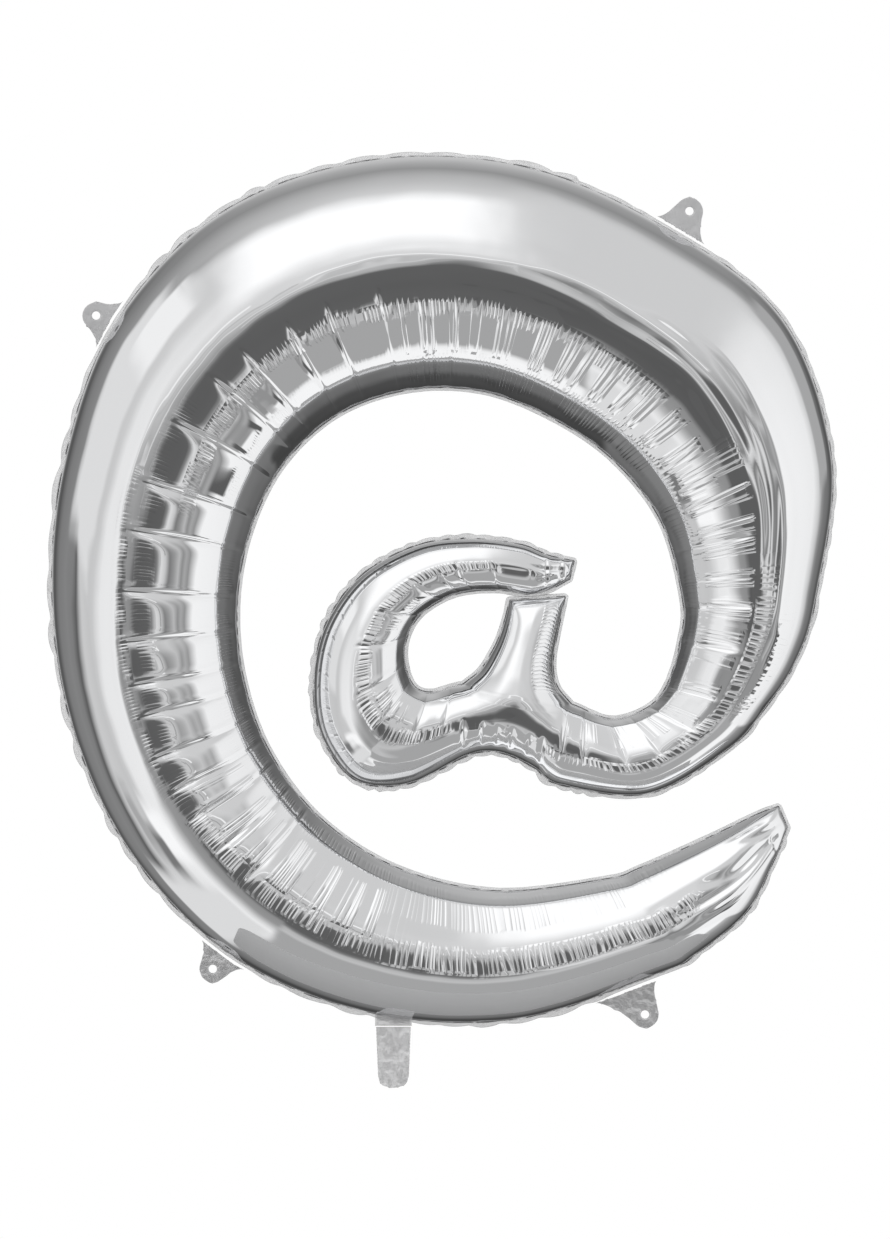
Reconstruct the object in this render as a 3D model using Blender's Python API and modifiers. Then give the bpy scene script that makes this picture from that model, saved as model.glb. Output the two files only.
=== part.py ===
"""Foil balloon in the shape of an at sign, with its hanging tabs and its filling tail.

The balloon stands upright and faces -Y. Its seam lies in the plane y = 0, and the origin is the
middle of the round outer stroke. Lengths are metres, and a name that ends in _MM is millimetres.
"""
import math

import bmesh
import bpy
import numpy as np

MM = 0.001

# Film and seam
INFLATION = 0.84          # height of the crown for each unit of half width
WALL = 0.0014             # wall of each inflated sheet
SEAM_LIP = 0.0015         # upright start of a sheet at its seam
SEAL_HALF = 0.0006        # half thickness of the flat seal
SEAL_OUTSIDE = 0.005      # flat edge that shows outside the seam
SEAL_INSIDE = 0.004       # flat edge that lies between the two sheets
CLEAR = 0.0003            # gap between pieces that touch
ROWS = 8                  # cells across the stroke
STEPS = 3                 # columns from one cut to the next

# Cuts across the free end of the outer stroke, from its tip towards the bottom.
# Columns: inner x, inner z, outer x, outer z.
END_CUTS_MM = (
    (300, -186, 308, -205),
    (281, -193, 296, -234),
    (237, -214, 271, -281),
    (176, -241, 225, -319),
)

# Cuts across the round outer stroke, from the bottom clockwise to the right-hand side.
# Columns: angle from +X in degrees, radius of the inner seam, radius of the outer seam.
RING_CUTS_MM = (
    (300, 290, 387),
    (280, 266, 382),
    (260, 245, 377),
    (240, 226, 373),
    (220, 208, 363),
    (200, 194, 354),
    (180, 187, 353),
    (160, 186, 364),
    (140, 190, 387),
    (120, 193, 402),
    (100, 192, 401),
    (80, 191, 396),
    (60, 190, 389),
    (40, 197, 395),
    (20, 207, 370),
    (0, 214, 333),
    (-10, 215, 320),
)

# Creases where the film is gathered across the inner half of the round stroke, as angles from +X:
# a long row from the lower left to the top, and three at the right.
CREASES_DEG = (234.5, 227.7, 221, 215, 208.6, 201, 195.3, 187.5, 178.4, 167.5, 158.6, 146.8,
               136.7, 129.7, 120, 112, 102.4, 95.5, 88.5, 4.7, -1.1, -9.6)
CREASE_HALF_DEG = 0.9     # half width of a crease
CREASE_DEPTH = 0.0022
CREASE_ROWS = 3           # rows from the inner seam that a crease crosses
CREASE_ROOM = 0.12        # plain columns keep this many cuts away from a crease

# Cuts across the inner letter, from the bend at the lower right, under the stem, round the
# bowl and out along the arm. Columns: inner x, inner z, outer x, outer z.
LETTER_CUTS_MM = (
    (200, -76, 288, -97),
    (182, -97, 256, -133),
    (149, -107, 183, -174),
    (114, -94, 104, -166),
    (90, -90, 81, -151),
    (66, -86, 59, -140),
    (41, -81, 39, -136),
    (16, -76, 17, -141),
    (-13, -83, -33, -165),
    (-29, -76, -80, -162),
    (-36, -54, -111, -122),
    (-34, -33, -118, -72),
    (-22, -13, -107, -22),
    (1, 2, -75, 22),
    (23, 8, -25, 49),
    (49, 9, 23, 55),
    (75, 5, 67, 50),
    (93, 9, 93, 40),
    (112, 19, 116, 35),
)
STEM_RIGHT_CUT = 3        # row of LETTER_CUTS_MM where the stem's right-hand edge joins
STEM_LEFT_CUT = 7         # row where its left-hand edge joins
VALLEY_CUT = 15           # row where the arm starts to cross the stem's top
NOTCH_CUT = 17            # row where the arm parts from the stem's top

# Cuts across the stem from its top down. Columns: left x, left z, right x, right z.
STEM_CUTS_MM = (
    (58, 0, 108, 3),
    (55, -14, 104, -16),
    (49, -33, 100, -36),
    (41, -49, 97, -58),
    (31, -64, 101, -78),
)

# Hanging tabs. Columns: name, hole x, hole z, width of the root before and after the hole,
# going clockwise round the balloon.
TABS_MM = (
    ("tab_upper_left", -314, 256, 27, 25),
    ("tab_upper_right", 220, 350, 25, 28),
    ("tab_lower_left", -209, -332, 26, 24),
    ("tab_lower_right", 180, -373, 22, 40),
)
TAB_END_RADIUS = 0.0132
TAB_HOLE_RADIUS = 0.0038
TAB_HOLE_SIDES = 20
TAB_SPREAD = math.radians(75)    # half angle of the tab's round end
TAB_END_STEPS = 10
TAB_ROOT_SLOPE = math.radians(20)    # angle between a flank's foot and the balloon's edge
TAB_FLANK_PULL = 0.022           # how far a flank holds its direction at its ends
TAB_FLANK_STEPS = 5
TAB_FOOT_REACH = 3               # points each side of the nearest one that the tab's foot is found on

# Filling tail, which folds at the lower edge of its root
TAIL_X = -0.0464
TAIL_TOP_WIDTH = 0.033
TAIL_LOW_WIDTH = 0.029
TAIL_FOLD_Z = -0.3830
TAIL_LOW_Z = -0.4390
TAIL_CORNER_RADIUS = 0.009
TAIL_CORNER_STEPS = 6
TAIL_THICKNESS = 0.001
TAIL_RUNNING_GAP = 0.0008
TAIL_ROOT_LEFT_Z = -0.3726        # the root's upper edge follows the slope of the seam
TAIL_ROOT_RIGHT_Z = -0.3768

# Colours: red, green, blue, metallic, roughness
FOIL_SILVER = (0.80, 0.81, 0.83, 1.0, 0.10)
SEAL_GREY = (0.62, 0.62, 0.64, 0.8, 0.25)
TAB_FILM = (0.66, 0.66, 0.67, 0.0, 0.30)
TAIL_FILM = (0.74, 0.75, 0.76, 0.0, 0.25)


def clear_scene():
    """Empty the file of every object."""
    for thing in list(bpy.data.objects):
        bpy.data.objects.remove(thing, do_unlink=True)


def make_collection(name):
    """A new collection in the scene."""
    collection = bpy.data.collections.new(name)
    bpy.context.scene.collection.children.link(collection)
    return collection


def make_material(name, look):
    """A Principled material from red, green, blue, metallic and roughness."""
    material = bpy.data.materials.new(name)
    material.use_nodes = True
    shader = material.node_tree.nodes["Principled BSDF"]
    shader.inputs["Base Color"].default_value = (*look[:3], 1.0)
    shader.inputs["Metallic"].default_value = look[3]
    shader.inputs["Roughness"].default_value = look[4]
    return material


def add_object(name, data, collection, look):
    """An object with its own material, linked to the collection."""
    thing = bpy.data.objects.new(name, data)
    thing.data.materials.append(make_material(name + "_finish", look))
    collection.objects.link(thing)
    return thing


def ring_point(angle_deg, radius_mm):
    """A point of the seam plane, from an angle and a radius about the origin."""
    angle = math.radians(angle_deg)
    return (radius_mm * math.cos(angle), radius_mm * math.sin(angle))


def stroke_cuts():
    """All cuts across the stroke as an array: cut, side (inner or outer), x and z."""
    cuts = [((ix, iz), (ox, oz)) for ix, iz, ox, oz in END_CUTS_MM]
    cuts += [(ring_point(angle, inner), ring_point(angle, outer))
             for angle, inner, outer in RING_CUTS_MM]
    cuts += [((ix, iz), (ox, oz)) for ix, iz, ox, oz in LETTER_CUTS_MM]
    return np.array(cuts) * MM


def smooth_through(cuts, places):
    """Points of the Catmull-Rom curve through the cuts, at fractional places along them."""
    padded = np.concatenate([2 * cuts[:1] - cuts[1:2], cuts, 2 * cuts[-1:] - cuts[-2:-1]])
    smooth = []
    for place in places:
        first = min(int(place), len(cuts) - 2)
        t = place - first
        a, b, c, d = padded[first:first + 4]
        smooth.append(0.5 * (2 * b + (c - a) * t + (2 * a - 5 * b + 4 * c - d) * t ** 2
                             + (3 * b - a - 3 * c + d) * t ** 3))
    return np.array(smooth)


def cut_at_angle(angle_deg):
    """Place along the stroke, counted in cuts, where a ray at that angle crosses it."""
    turned = [-angle for angle, inner, outer in RING_CUTS_MM]
    return len(END_CUTS_MM) + float(np.interp(-angle_deg, turned, range(len(turned))))


def column_places():
    """Places of the columns along the stroke, and those among them where a crease lies."""
    creases = [cut_at_angle(angle) for angle in CREASES_DEG]
    last_cut = len(END_CUTS_MM) + len(RING_CUTS_MM) + len(LETTER_CUTS_MM) - 1
    plain = [place for place in np.arange(last_cut * STEPS + 1) / STEPS
             if min(abs(place - crease) for crease in creases) > CREASE_ROOM]
    creased = [cut_at_angle(angle + side * CREASE_HALF_DEG) for angle in CREASES_DEG
               for side in (-1, 0, 1)]
    return np.sort(plain + creased), creases


def across(cut):
    """Points from a cut's first side to its second, closer together near the seams."""
    share = 0.5 - 0.5 * np.cos(math.pi * np.arange(ROWS + 1) / ROWS)
    return cut[0] * (1 - share[:, None]) + cut[1] * share[:, None]


class Pattern:
    """The flat cut of one sheet: its points, its cells, its seam loop and its inflated height."""

    def __init__(self):
        self.places, self.creases = column_places()
        columns = smooth_through(stroke_cuts(), self.places)
        self.points = [point for cut in columns for point in across(cut)]
        self.cells = [(self.main(c, r), self.main(c + 1, r), self.main(c + 1, r + 1), self.main(c, r + 1))
                      for c in range(len(columns) - 1) for r in range(ROWS)]
        self.add_stem()
        self.points = np.array(self.points)
        self.cells = np.array(self.cells)
        self.loop = self.seam_loop()
        self.height = self.inflate()
        self.press_creases()

    def main(self, column, row):
        """Index of a point of the long stroke."""
        return column * (ROWS + 1) + row

    def column_at(self, place):
        """Index of the column at a place along the stroke."""
        return int(np.argmin(np.abs(self.places - place)))

    def letter_column(self, letter_cut):
        """Index of the column at a row of LETTER_CUTS_MM."""
        return self.column_at(len(END_CUTS_MM) + len(RING_CUTS_MM) + letter_cut)

    def add_stem(self):
        """The stem's cells, hung on the stroke's inner edge between its two joining cuts."""
        right = self.letter_column(STEM_RIGHT_CUT)
        left = self.letter_column(STEM_LEFT_CUT)
        foot = [self.main(column, 0) for column in range(right, left + 1)]
        foot_points = np.array([self.points[index] for index in foot])
        runs = np.concatenate([[0], np.cumsum(np.linalg.norm(np.diff(foot_points, axis=0), axis=1))])
        share = (runs / runs[-1])[:, None]
        foot_cut = np.array([foot_points[-1], foot_points[0]])
        cuts = np.concatenate([np.array(STEM_CUTS_MM).reshape(-1, 2, 2) * MM, [foot_cut]])
        self.stem = []
        for row in cuts[:-1]:
            start = len(self.points)
            self.points += list(row[1] * (1 - share) + row[0] * share)
            self.stem.append(list(range(start, start + len(foot))))
        self.stem.append(foot)
        for upper, lower in zip(self.stem, self.stem[1:]):
            self.cells += [(upper[k], upper[k + 1], lower[k + 1], lower[k]) for k in range(len(foot) - 1)]

    def seam_loop(self):
        """Indices of the seam's points in order, once round the whole chamber."""
        sides = {(cell[k], cell[(k + 1) % 4]) for cell in self.cells for k in range(4)}
        after = {a: b for a, b in sides if (b, a) not in sides}
        loop = [self.main(0, 0)]
        while after[loop[-1]] != loop[0]:
            loop.append(after[loop[-1]])
        return loop

    def inflate(self):
        """Height of the blown sheet over its flat cut, as of a film under pressure."""
        corners = np.concatenate([self.cells[:, [0, 1, 2]], self.cells[:, [0, 2, 3]]])
        p = self.points[corners]
        area = 0.5 * np.abs(np.cross(p[:, 1] - p[:, 0], p[:, 2] - p[:, 0]))
        stiffness = np.zeros((len(self.points), len(self.points)))
        load = np.zeros(len(self.points))
        for i in range(3):
            np.add.at(load, corners[:, i], area / 3)
            for j in range(3):
                edge_i = p[:, (i + 2) % 3] - p[:, (i + 1) % 3]
                edge_j = p[:, (j + 2) % 3] - p[:, (j + 1) % 3]
                np.add.at(stiffness, (corners[:, i], corners[:, j]),
                          (edge_i * edge_j).sum(axis=1) / (4 * area))
        free = np.setdiff1d(np.arange(len(self.points)), self.loop)
        swell = np.zeros(len(self.points))
        swell[free] = np.linalg.solve(stiffness[np.ix_(free, free)], load[free])
        return INFLATION * np.sqrt(2 * np.maximum(swell, 0))

    def press_creases(self):
        """Sink each crease into the blown film, square to it, deepest halfway down the inner half."""
        size = len(self.places) * (ROWS + 1)
        blown = np.column_stack([self.points, self.height])[:size].reshape(-1, ROWS + 1, 3)
        inward = np.cross(np.gradient(blown, axis=0), np.gradient(blown, axis=1))
        inward /= -np.linalg.norm(inward, axis=2)[..., None] * np.sign(inward[:, ROWS // 2, 2].mean())
        for crease in self.creases:
            column = self.column_at(crease)
            for row in range(1, CREASE_ROWS + 1):
                depth = CREASE_DEPTH * math.sin(math.pi * row / (CREASE_ROWS + 1))
                blown[column, row] += depth * inward[column, row]
        self.points[:size] = blown[..., :2].reshape(-1, 2)
        self.height[:size] = blown[..., 2].reshape(-1)

    def edge(self, first, last):
        """Points of the seam from one point's index to another's, in the loop's order."""
        start = self.loop.index(first)
        ordered = self.loop[start:] + self.loop[:start]
        return self.points[ordered[:ordered.index(last) + 1]]


def distance_to(points, path):
    """Shortest distance of each point to a closed path."""
    run = np.roll(path, -1, axis=0) - path
    to_point = points[:, None, :] - path[None]
    share = np.clip((to_point * run).sum(axis=2) / (run ** 2).sum(axis=1), 0, 1)
    return np.linalg.norm(to_point - share[:, :, None] * run, axis=2).min(axis=1)


def parallel(path, offset, keep_share=0.97):
    """A closed path moved sideways by the offset, without the loops that corners would make.

    A moved point is kept if it lies at least keep_share of the offset away from the path.
    """
    before = path - np.roll(path, 1, axis=0)
    ahead = np.roll(path, -1, axis=0) - path
    before /= np.linalg.norm(before, axis=1)[:, None]
    ahead /= np.linalg.norm(ahead, axis=1)[:, None]
    bisector = np.stack([-(before + ahead)[:, 1], (before + ahead)[:, 0]], axis=1)
    bisector /= np.linalg.norm(bisector, axis=1)[:, None]
    moved = path + bisector * offset
    return moved[distance_to(moved, path) > keep_share * abs(offset)]


def flat_plate(name, outlines, half_thickness, y, collection, look):
    """An upright flat plate from closed outlines in x and z, the later ones being holes."""
    curve = bpy.data.curves.new(name, "CURVE")
    curve.dimensions = "2D"
    curve.fill_mode = "BOTH"
    curve.extrude = half_thickness
    for outline in outlines:
        spline = curve.splines.new("POLY")
        spline.points.add(len(outline) - 1)
        for point, (x, z) in zip(spline.points, outline):
            point.co = (x, z, 0, 1)
        spline.use_cyclic_u = True
    thing = add_object(name, curve, collection, look)
    thing.rotation_euler = (math.pi / 2, 0, 0)
    thing.location.y = y
    return thing


def add_sheet(name, pattern, front, collection):
    """One inflated sheet: an open skin with an upright lip at the seam, and a solid wall."""
    side = -1 if front else 1
    seam_y = SEAL_HALF + CLEAR
    bm = bmesh.new()
    verts = [bm.verts.new((x, side * (seam_y + SEAM_LIP + lift), z))
             for (x, z), lift in zip(pattern.points, pattern.height)]
    for cell in pattern.cells:
        bm.faces.new([verts[index] for index in cell])
    rim = [edge for edge in bm.edges if edge.is_boundary]
    lip = bmesh.ops.extrude_edge_only(bm, edges=rim)
    for vert in lip["geom"]:
        if isinstance(vert, bmesh.types.BMVert):
            vert.co.y = side * seam_y
    bmesh.ops.recalc_face_normals(bm, faces=bm.faces[:])
    crown = max(bm.faces, key=lambda face: abs(face.calc_center_median().y))
    if crown.normal.y * side < 0:
        bmesh.ops.reverse_faces(bm, faces=bm.faces[:])
    mesh = bpy.data.meshes.new(name)
    bm.to_mesh(mesh)
    bm.free()
    mesh.shade_smooth()
    sheet = add_object(name, mesh, collection, FOIL_SILVER)
    wall = sheet.modifiers.new("wall", "SOLIDIFY")
    wall.thickness = WALL
    wall.offset = -1
    return sheet


def edge_paths(pattern):
    """Seam paths: the whole chamber, the silhouette and the letter's counter."""
    notch = pattern.main(pattern.letter_column(NOTCH_CUT), 0)
    valley = pattern.main(pattern.letter_column(VALLEY_CUT), 0)
    stem_top_right, stem_top_left = pattern.stem[0][0], pattern.stem[0][-1]
    chamber = pattern.points[pattern.loop]
    outside = pattern.edge(notch, stem_top_right)
    counter = pattern.edge(stem_top_left, valley)
    return chamber, outside, counter


def signed_area(path):
    """Area inside a closed path, positive when it runs anticlockwise."""
    x, z = path[:, 0], path[:, 1]
    return 0.5 * np.sum(x * np.roll(z, -1) - np.roll(x, -1) * z)


def widened(path, distance):
    """A closed path made larger by the distance, or smaller where that is negative."""
    anticlockwise = signed_area(path) > 0
    return parallel(path, -distance if anticlockwise else distance)


def flank(start, start_way, end, end_way):
    """Points of a tab's hollow flank from start to end, the end left out."""
    pull = TAB_FLANK_PULL
    points = []
    for step in range(TAB_FLANK_STEPS):
        t = step / TAB_FLANK_STEPS
        bend = (t ** 3 - 2 * t ** 2 + t) * start_way + (t ** 3 - t ** 2) * end_way
        share = 3 * t ** 2 - 2 * t ** 3
        points.append((1 - share) * start + share * end + pull * bend)
    return points


def tab_outline(hole, before, after, edge):
    """A tab's outline: its root along the balloon's edge, two hollow flanks and a round end."""
    nearest = int(np.argmin(np.linalg.norm(edge - hole, axis=1)))
    turned = np.roll(edge, len(edge) // 2 - nearest, axis=0)
    middle = len(edge) // 2
    runs = np.concatenate([[0], np.cumsum(np.linalg.norm(np.diff(turned, axis=0), axis=1))])
    runs -= runs[middle]
    near = slice(middle - TAB_FOOT_REACH, middle + TAB_FOOT_REACH + 1)
    ahead = (turned[near] - hole) @ (turned[middle + 1] - turned[middle - 1])
    foot_run = np.interp(0.0, ahead, runs[near])
    root_runs = [foot_run - before, foot_run + after]
    root_runs[1:1] = [run for run in runs if root_runs[0] < run < root_runs[1]]
    root = np.stack([np.interp(root_runs, runs, turned[:, axis]) for axis in (0, 1)], axis=1)
    outward = hole - np.array([np.interp(foot_run, runs, turned[:, axis]) for axis in (0, 1)])
    outward /= np.linalg.norm(outward)
    heading = root[-1] - root[0]
    heading /= np.linalg.norm(heading)
    angles = np.linspace(TAB_SPREAD, -TAB_SPREAD, TAB_END_STEPS + 1)
    end = hole + TAB_END_RADIUS * (np.outer(np.cos(angles), outward) + np.outer(np.sin(angles), heading))
    round_turn = (math.sin(TAB_SPREAD) * outward, math.cos(TAB_SPREAD) * heading)
    root_turn = (math.sin(TAB_ROOT_SLOPE) * outward, math.cos(TAB_ROOT_SLOPE) * heading)
    outline = list(root[:-1])
    outline += flank(root[-1], root_turn[0] - root_turn[1], end[0], round_turn[0] - round_turn[1])
    outline += list(end[:-1])
    outline += flank(end[-1], -round_turn[0] - round_turn[1], root[0], -root_turn[0] - root_turn[1])
    return outline


def circle(centre, radius, sides):
    """Points of a circle in the seam plane."""
    return [(centre[0] + radius * math.cos(2 * math.pi * k / sides),
             centre[1] + radius * math.sin(2 * math.pi * k / sides)) for k in range(sides)]


def tail_outline():
    """The folding tail: a slightly tapered strip with a round lower end."""
    top, low = TAIL_TOP_WIDTH / 2, TAIL_LOW_WIDTH / 2
    corner_z = TAIL_LOW_Z + TAIL_CORNER_RADIUS
    points = [(TAIL_X - top, TAIL_FOLD_Z), (TAIL_X + top, TAIL_FOLD_Z)]
    for side in (1, -1):
        corner_x = TAIL_X + side * (low - TAIL_CORNER_RADIUS)
        for step in range(TAIL_CORNER_STEPS + 1):
            turn = math.pi / 2 * step / TAIL_CORNER_STEPS
            angle = -turn if side > 0 else -math.pi / 2 - turn
            points.append((corner_x + TAIL_CORNER_RADIUS * math.cos(angle),
                           corner_z + TAIL_CORNER_RADIUS * math.sin(angle)))
    return points


def tail_root_outline():
    """The strip of the tail that is sealed to the front of the balloon's edge."""
    half = TAIL_TOP_WIDTH / 2
    low = TAIL_FOLD_Z + TAIL_RUNNING_GAP
    return [(TAIL_X - half, low), (TAIL_X + half, low),
            (TAIL_X + half, TAIL_ROOT_RIGHT_Z), (TAIL_X - half, TAIL_ROOT_LEFT_Z)]


def build():
    """Model the whole balloon."""
    clear_scene()
    collection = make_collection("foil_balloon")
    pattern = Pattern()
    add_sheet("front_sheet", pattern, True, collection)
    add_sheet("back_sheet", pattern, False, collection)

    chamber, outside, counter = edge_paths(pattern)
    silhouette = widened(outside, SEAL_OUTSIDE)
    flat_plate("edge_seal", [silhouette, widened(chamber, -SEAL_INSIDE), widened(counter, -SEAL_OUTSIDE)],
               SEAL_HALF, 0, collection, SEAL_GREY)

    tab_edge = widened(outside, SEAL_OUTSIDE + CLEAR)
    if signed_area(tab_edge) > 0:
        tab_edge = tab_edge[::-1]
    for name, hole_x, hole_z, before, after in TABS_MM:
        hole = np.array([hole_x, hole_z]) * MM
        outline = tab_outline(hole, before * MM, after * MM, tab_edge)
        flat_plate(name, [outline, circle(hole, TAB_HOLE_RADIUS, TAB_HOLE_SIDES)],
                   SEAL_HALF, 0, collection, TAB_FILM)

    tail_y = -(SEAL_HALF + CLEAR + TAIL_THICKNESS / 2)
    flat_plate("tail_root", [tail_root_outline()], TAIL_THICKNESS / 2, tail_y, collection, TAIL_FILM)
    flat_plate("filling_tail", [tail_outline()], TAIL_THICKNESS / 2, tail_y, collection, TAIL_FILM)


build()
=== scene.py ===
"""Looks of the foil balloon: blown mirror film with its pleats, the sealed edge, the tabs and the tail.

Lengths are metres, unless a name ends in _mm or _deg. The balloon faces -Y and its seam lies in the
plane y = 0. A place along the stroke is counted in cuts, from 0 at the free end of the round stroke
to 39 at the tip of the letter's arm. A place across it runs from 0 at the inner seam to 1 at the
outer seam.
"""

import logging
import math
from dataclasses import dataclass
from enum import Enum

import bmesh
import bpy
import numpy as np
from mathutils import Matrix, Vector, noise


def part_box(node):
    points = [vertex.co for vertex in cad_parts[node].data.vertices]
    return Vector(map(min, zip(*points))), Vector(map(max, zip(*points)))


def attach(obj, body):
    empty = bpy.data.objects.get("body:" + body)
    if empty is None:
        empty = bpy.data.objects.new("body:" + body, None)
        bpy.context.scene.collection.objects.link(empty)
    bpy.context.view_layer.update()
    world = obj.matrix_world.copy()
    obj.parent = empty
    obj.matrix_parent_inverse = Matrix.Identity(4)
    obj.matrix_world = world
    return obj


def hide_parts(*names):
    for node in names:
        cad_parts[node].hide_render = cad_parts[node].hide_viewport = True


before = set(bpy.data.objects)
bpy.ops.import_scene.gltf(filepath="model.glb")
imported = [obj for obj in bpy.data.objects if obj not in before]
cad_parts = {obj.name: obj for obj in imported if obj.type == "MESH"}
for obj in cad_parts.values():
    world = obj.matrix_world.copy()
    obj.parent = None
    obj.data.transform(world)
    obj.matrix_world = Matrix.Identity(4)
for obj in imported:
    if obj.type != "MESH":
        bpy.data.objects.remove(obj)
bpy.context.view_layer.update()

log = logging.getLogger("foil_balloon")
MM = 0.001
TAB_HOLES = ((-0.314, 0.256), (0.220, 0.350), (-0.209, -0.332), (0.180, -0.373))


class Side(Enum):
    """The two sheets of film, with the sign of y on that side."""

    FRONT = -1
    BACK = 1


class Value:
    """A number that flows between shader nodes, with the operators of ordinary numbers."""

    def __init__(self, shading: "Shading", socket: bpy.types.NodeSocket) -> None:
        """Wrap one output socket."""
        self.shading = shading
        self.socket = socket

    def __add__(self, other: "Value | float") -> "Value":
        """Sum."""
        return self.shading.math("ADD", self, other)

    __radd__ = __add__

    def __sub__(self, other: "Value | float") -> "Value":
        """Difference."""
        return self.shading.math("SUBTRACT", self, other)

    def __rsub__(self, other: float) -> "Value":
        """Difference from a plain number."""
        return self.shading.math("SUBTRACT", other, self)

    def __mul__(self, other: "Value | float") -> "Value":
        """Product."""
        return self.shading.math("MULTIPLY", self, other)

    __rmul__ = __mul__

    def __truediv__(self, other: "Value | float") -> "Value":
        """Quotient."""
        return self.shading.math("DIVIDE", self, other)

    def __pow__(self, other: "Value | float") -> "Value":
        """Power."""
        return self.shading.math("POWER", self, other)

    def __abs__(self) -> "Value":
        """Size without the sign."""
        return self.shading.math("ABSOLUTE", self)

    def atleast(self, other: "Value | float") -> "Value":
        """The larger of the two."""
        return self.shading.math("MAXIMUM", self, other)

    def rise(self, low: float, high: float) -> "Value":
        """Smooth step from 0 at low to 1 at high.

        Args:
            low: value where the step starts.
            high: value where it ends; where that is below low, the step falls.

        Returns:
            The stepped value.
        """
        if low > high:
            return 1.0 - self.rise(high, low)
        stepped = self.shading.node("ShaderNodeMapRange", {"interpolation_type": "SMOOTHSTEP"},
                                    {"Value": self, "From Min": low, "From Max": high})
        return Value(self.shading, stepped.outputs["Result"])

    def toward(self, other: "Value | float", share: "Value | float") -> "Value":
        """This value moved toward the other by a share from 0 to 1."""
        return self + (self.shading.math("SUBTRACT", other, self)) * share


class Shading:
    """Builds one node tree, of a material or of the world."""

    def __init__(self, tree: bpy.types.NodeTree) -> None:
        """Start with an empty tree."""
        self.tree = tree
        tree.nodes.clear()

    def node(self, kind: str, settings: dict | None = None, inputs: dict | None = None) -> bpy.types.Node:
        """Add a node.

        Args:
            kind: the node's type.
            settings: its properties, set first; "stops" are a ramp's (place, grey) pairs.
            inputs: a value, a Value or a socket for each named or numbered input.

        Returns:
            The node.
        """
        node = self.tree.nodes.new(kind)
        for name, setting in (settings or {}).items():
            if name == "stops":
                self.set_stops(node.color_ramp, setting)
            else:
                setattr(node, name, setting)
        for name, value in (inputs or {}).items():
            self.feed(node.inputs[name], value)
        return node

    def set_stops(self, ramp: bpy.types.ColorRamp, stops: tuple) -> None:
        """Give a ramp its stops.

        Args:
            ramp: the colour ramp.
            stops: pairs of place and grey.
        """
        while len(ramp.elements) < len(stops):
            ramp.elements.new(0.5)
        for element, (place, grey) in zip(ramp.elements, stops):
            element.position = place
            element.color = (grey, grey, grey, 1.0)

    def feed(self, socket: bpy.types.NodeSocket, value: object) -> None:
        """Link a Value or a socket to an input, or set its default.

        Args:
            socket: the input.
            value: a Value, a socket or a plain value.
        """
        if isinstance(value, Value):
            value = value.socket
        if isinstance(value, bpy.types.NodeSocket):
            self.tree.links.new(value, socket)
        else:
            socket.default_value = value

    def math(self, operation: str, *terms: "Value | float") -> Value:
        """Add a Math node on one or more terms."""
        inputs = dict(enumerate(terms))
        return Value(self, self.node("ShaderNodeMath", {"operation": operation}, inputs).outputs[0])

    def value(self, node: bpy.types.Node, output: str | int = 0) -> Value:
        """Wrap one output of a node."""
        return Value(self, node.outputs[output])

    def place(self) -> bpy.types.NodeSocket:
        """The object's own coordinates."""
        return self.node("ShaderNodeTexCoord").outputs["Object"]

    def noise(self, place: bpy.types.NodeSocket, scale: float, detail: float = 2.0, **more: float) -> Value:
        """Smooth noise from 0 to 1.

        Args:
            place: the coordinates that it follows.
            scale: how fine it is.
            detail: how many finer layers it has.
            more: further inputs of the node.

        Returns:
            The noise.
        """
        inputs = {"Vector": place, "Scale": scale, "Detail": detail, **more}
        return self.value(self.node("ShaderNodeTexNoise", {}, inputs))

    def attribute(self, name: str) -> Value:
        """A number stored on the points of the mesh."""
        return self.value(self.node("ShaderNodeAttribute", {"attribute_name": name}), "Fac")

    def grey(self, tone: Value, blue: float = 1.0) -> bpy.types.NodeSocket:
        """A grey from a tone, slightly cool where blue is above 1."""
        made = self.node("ShaderNodeCombineColor", {}, {"Red": tone, "Green": tone, "Blue": tone * blue})
        return made.outputs["Color"]

    def bump(self, height: Value) -> bpy.types.NodeSocket:
        """A normal from a height in metres."""
        made = self.node("ShaderNodeBump", {}, {"Strength": 1.0, "Distance": 1.0, "Height": height})
        return made.outputs["Normal"]

    def surface(self, **inputs: object) -> None:
        """End a material with a Principled shader.

        Args:
            inputs: its inputs, named with _ for each space.
        """
        named = {name.replace("_", " "): value for name, value in inputs.items()}
        shader = self.node("ShaderNodeBsdfPrincipled", {}, named)
        self.node("ShaderNodeOutputMaterial", {}, {"Surface": shader.outputs["BSDF"]})


def new_material(name: str) -> tuple[bpy.types.Material, Shading]:
    """Make an empty node material.

    Args:
        name: its name.

    Returns:
        The material and the helper that fills it.
    """
    material = bpy.data.materials.new(name)
    material.use_nodes = True
    return material, Shading(material.node_tree)


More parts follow.
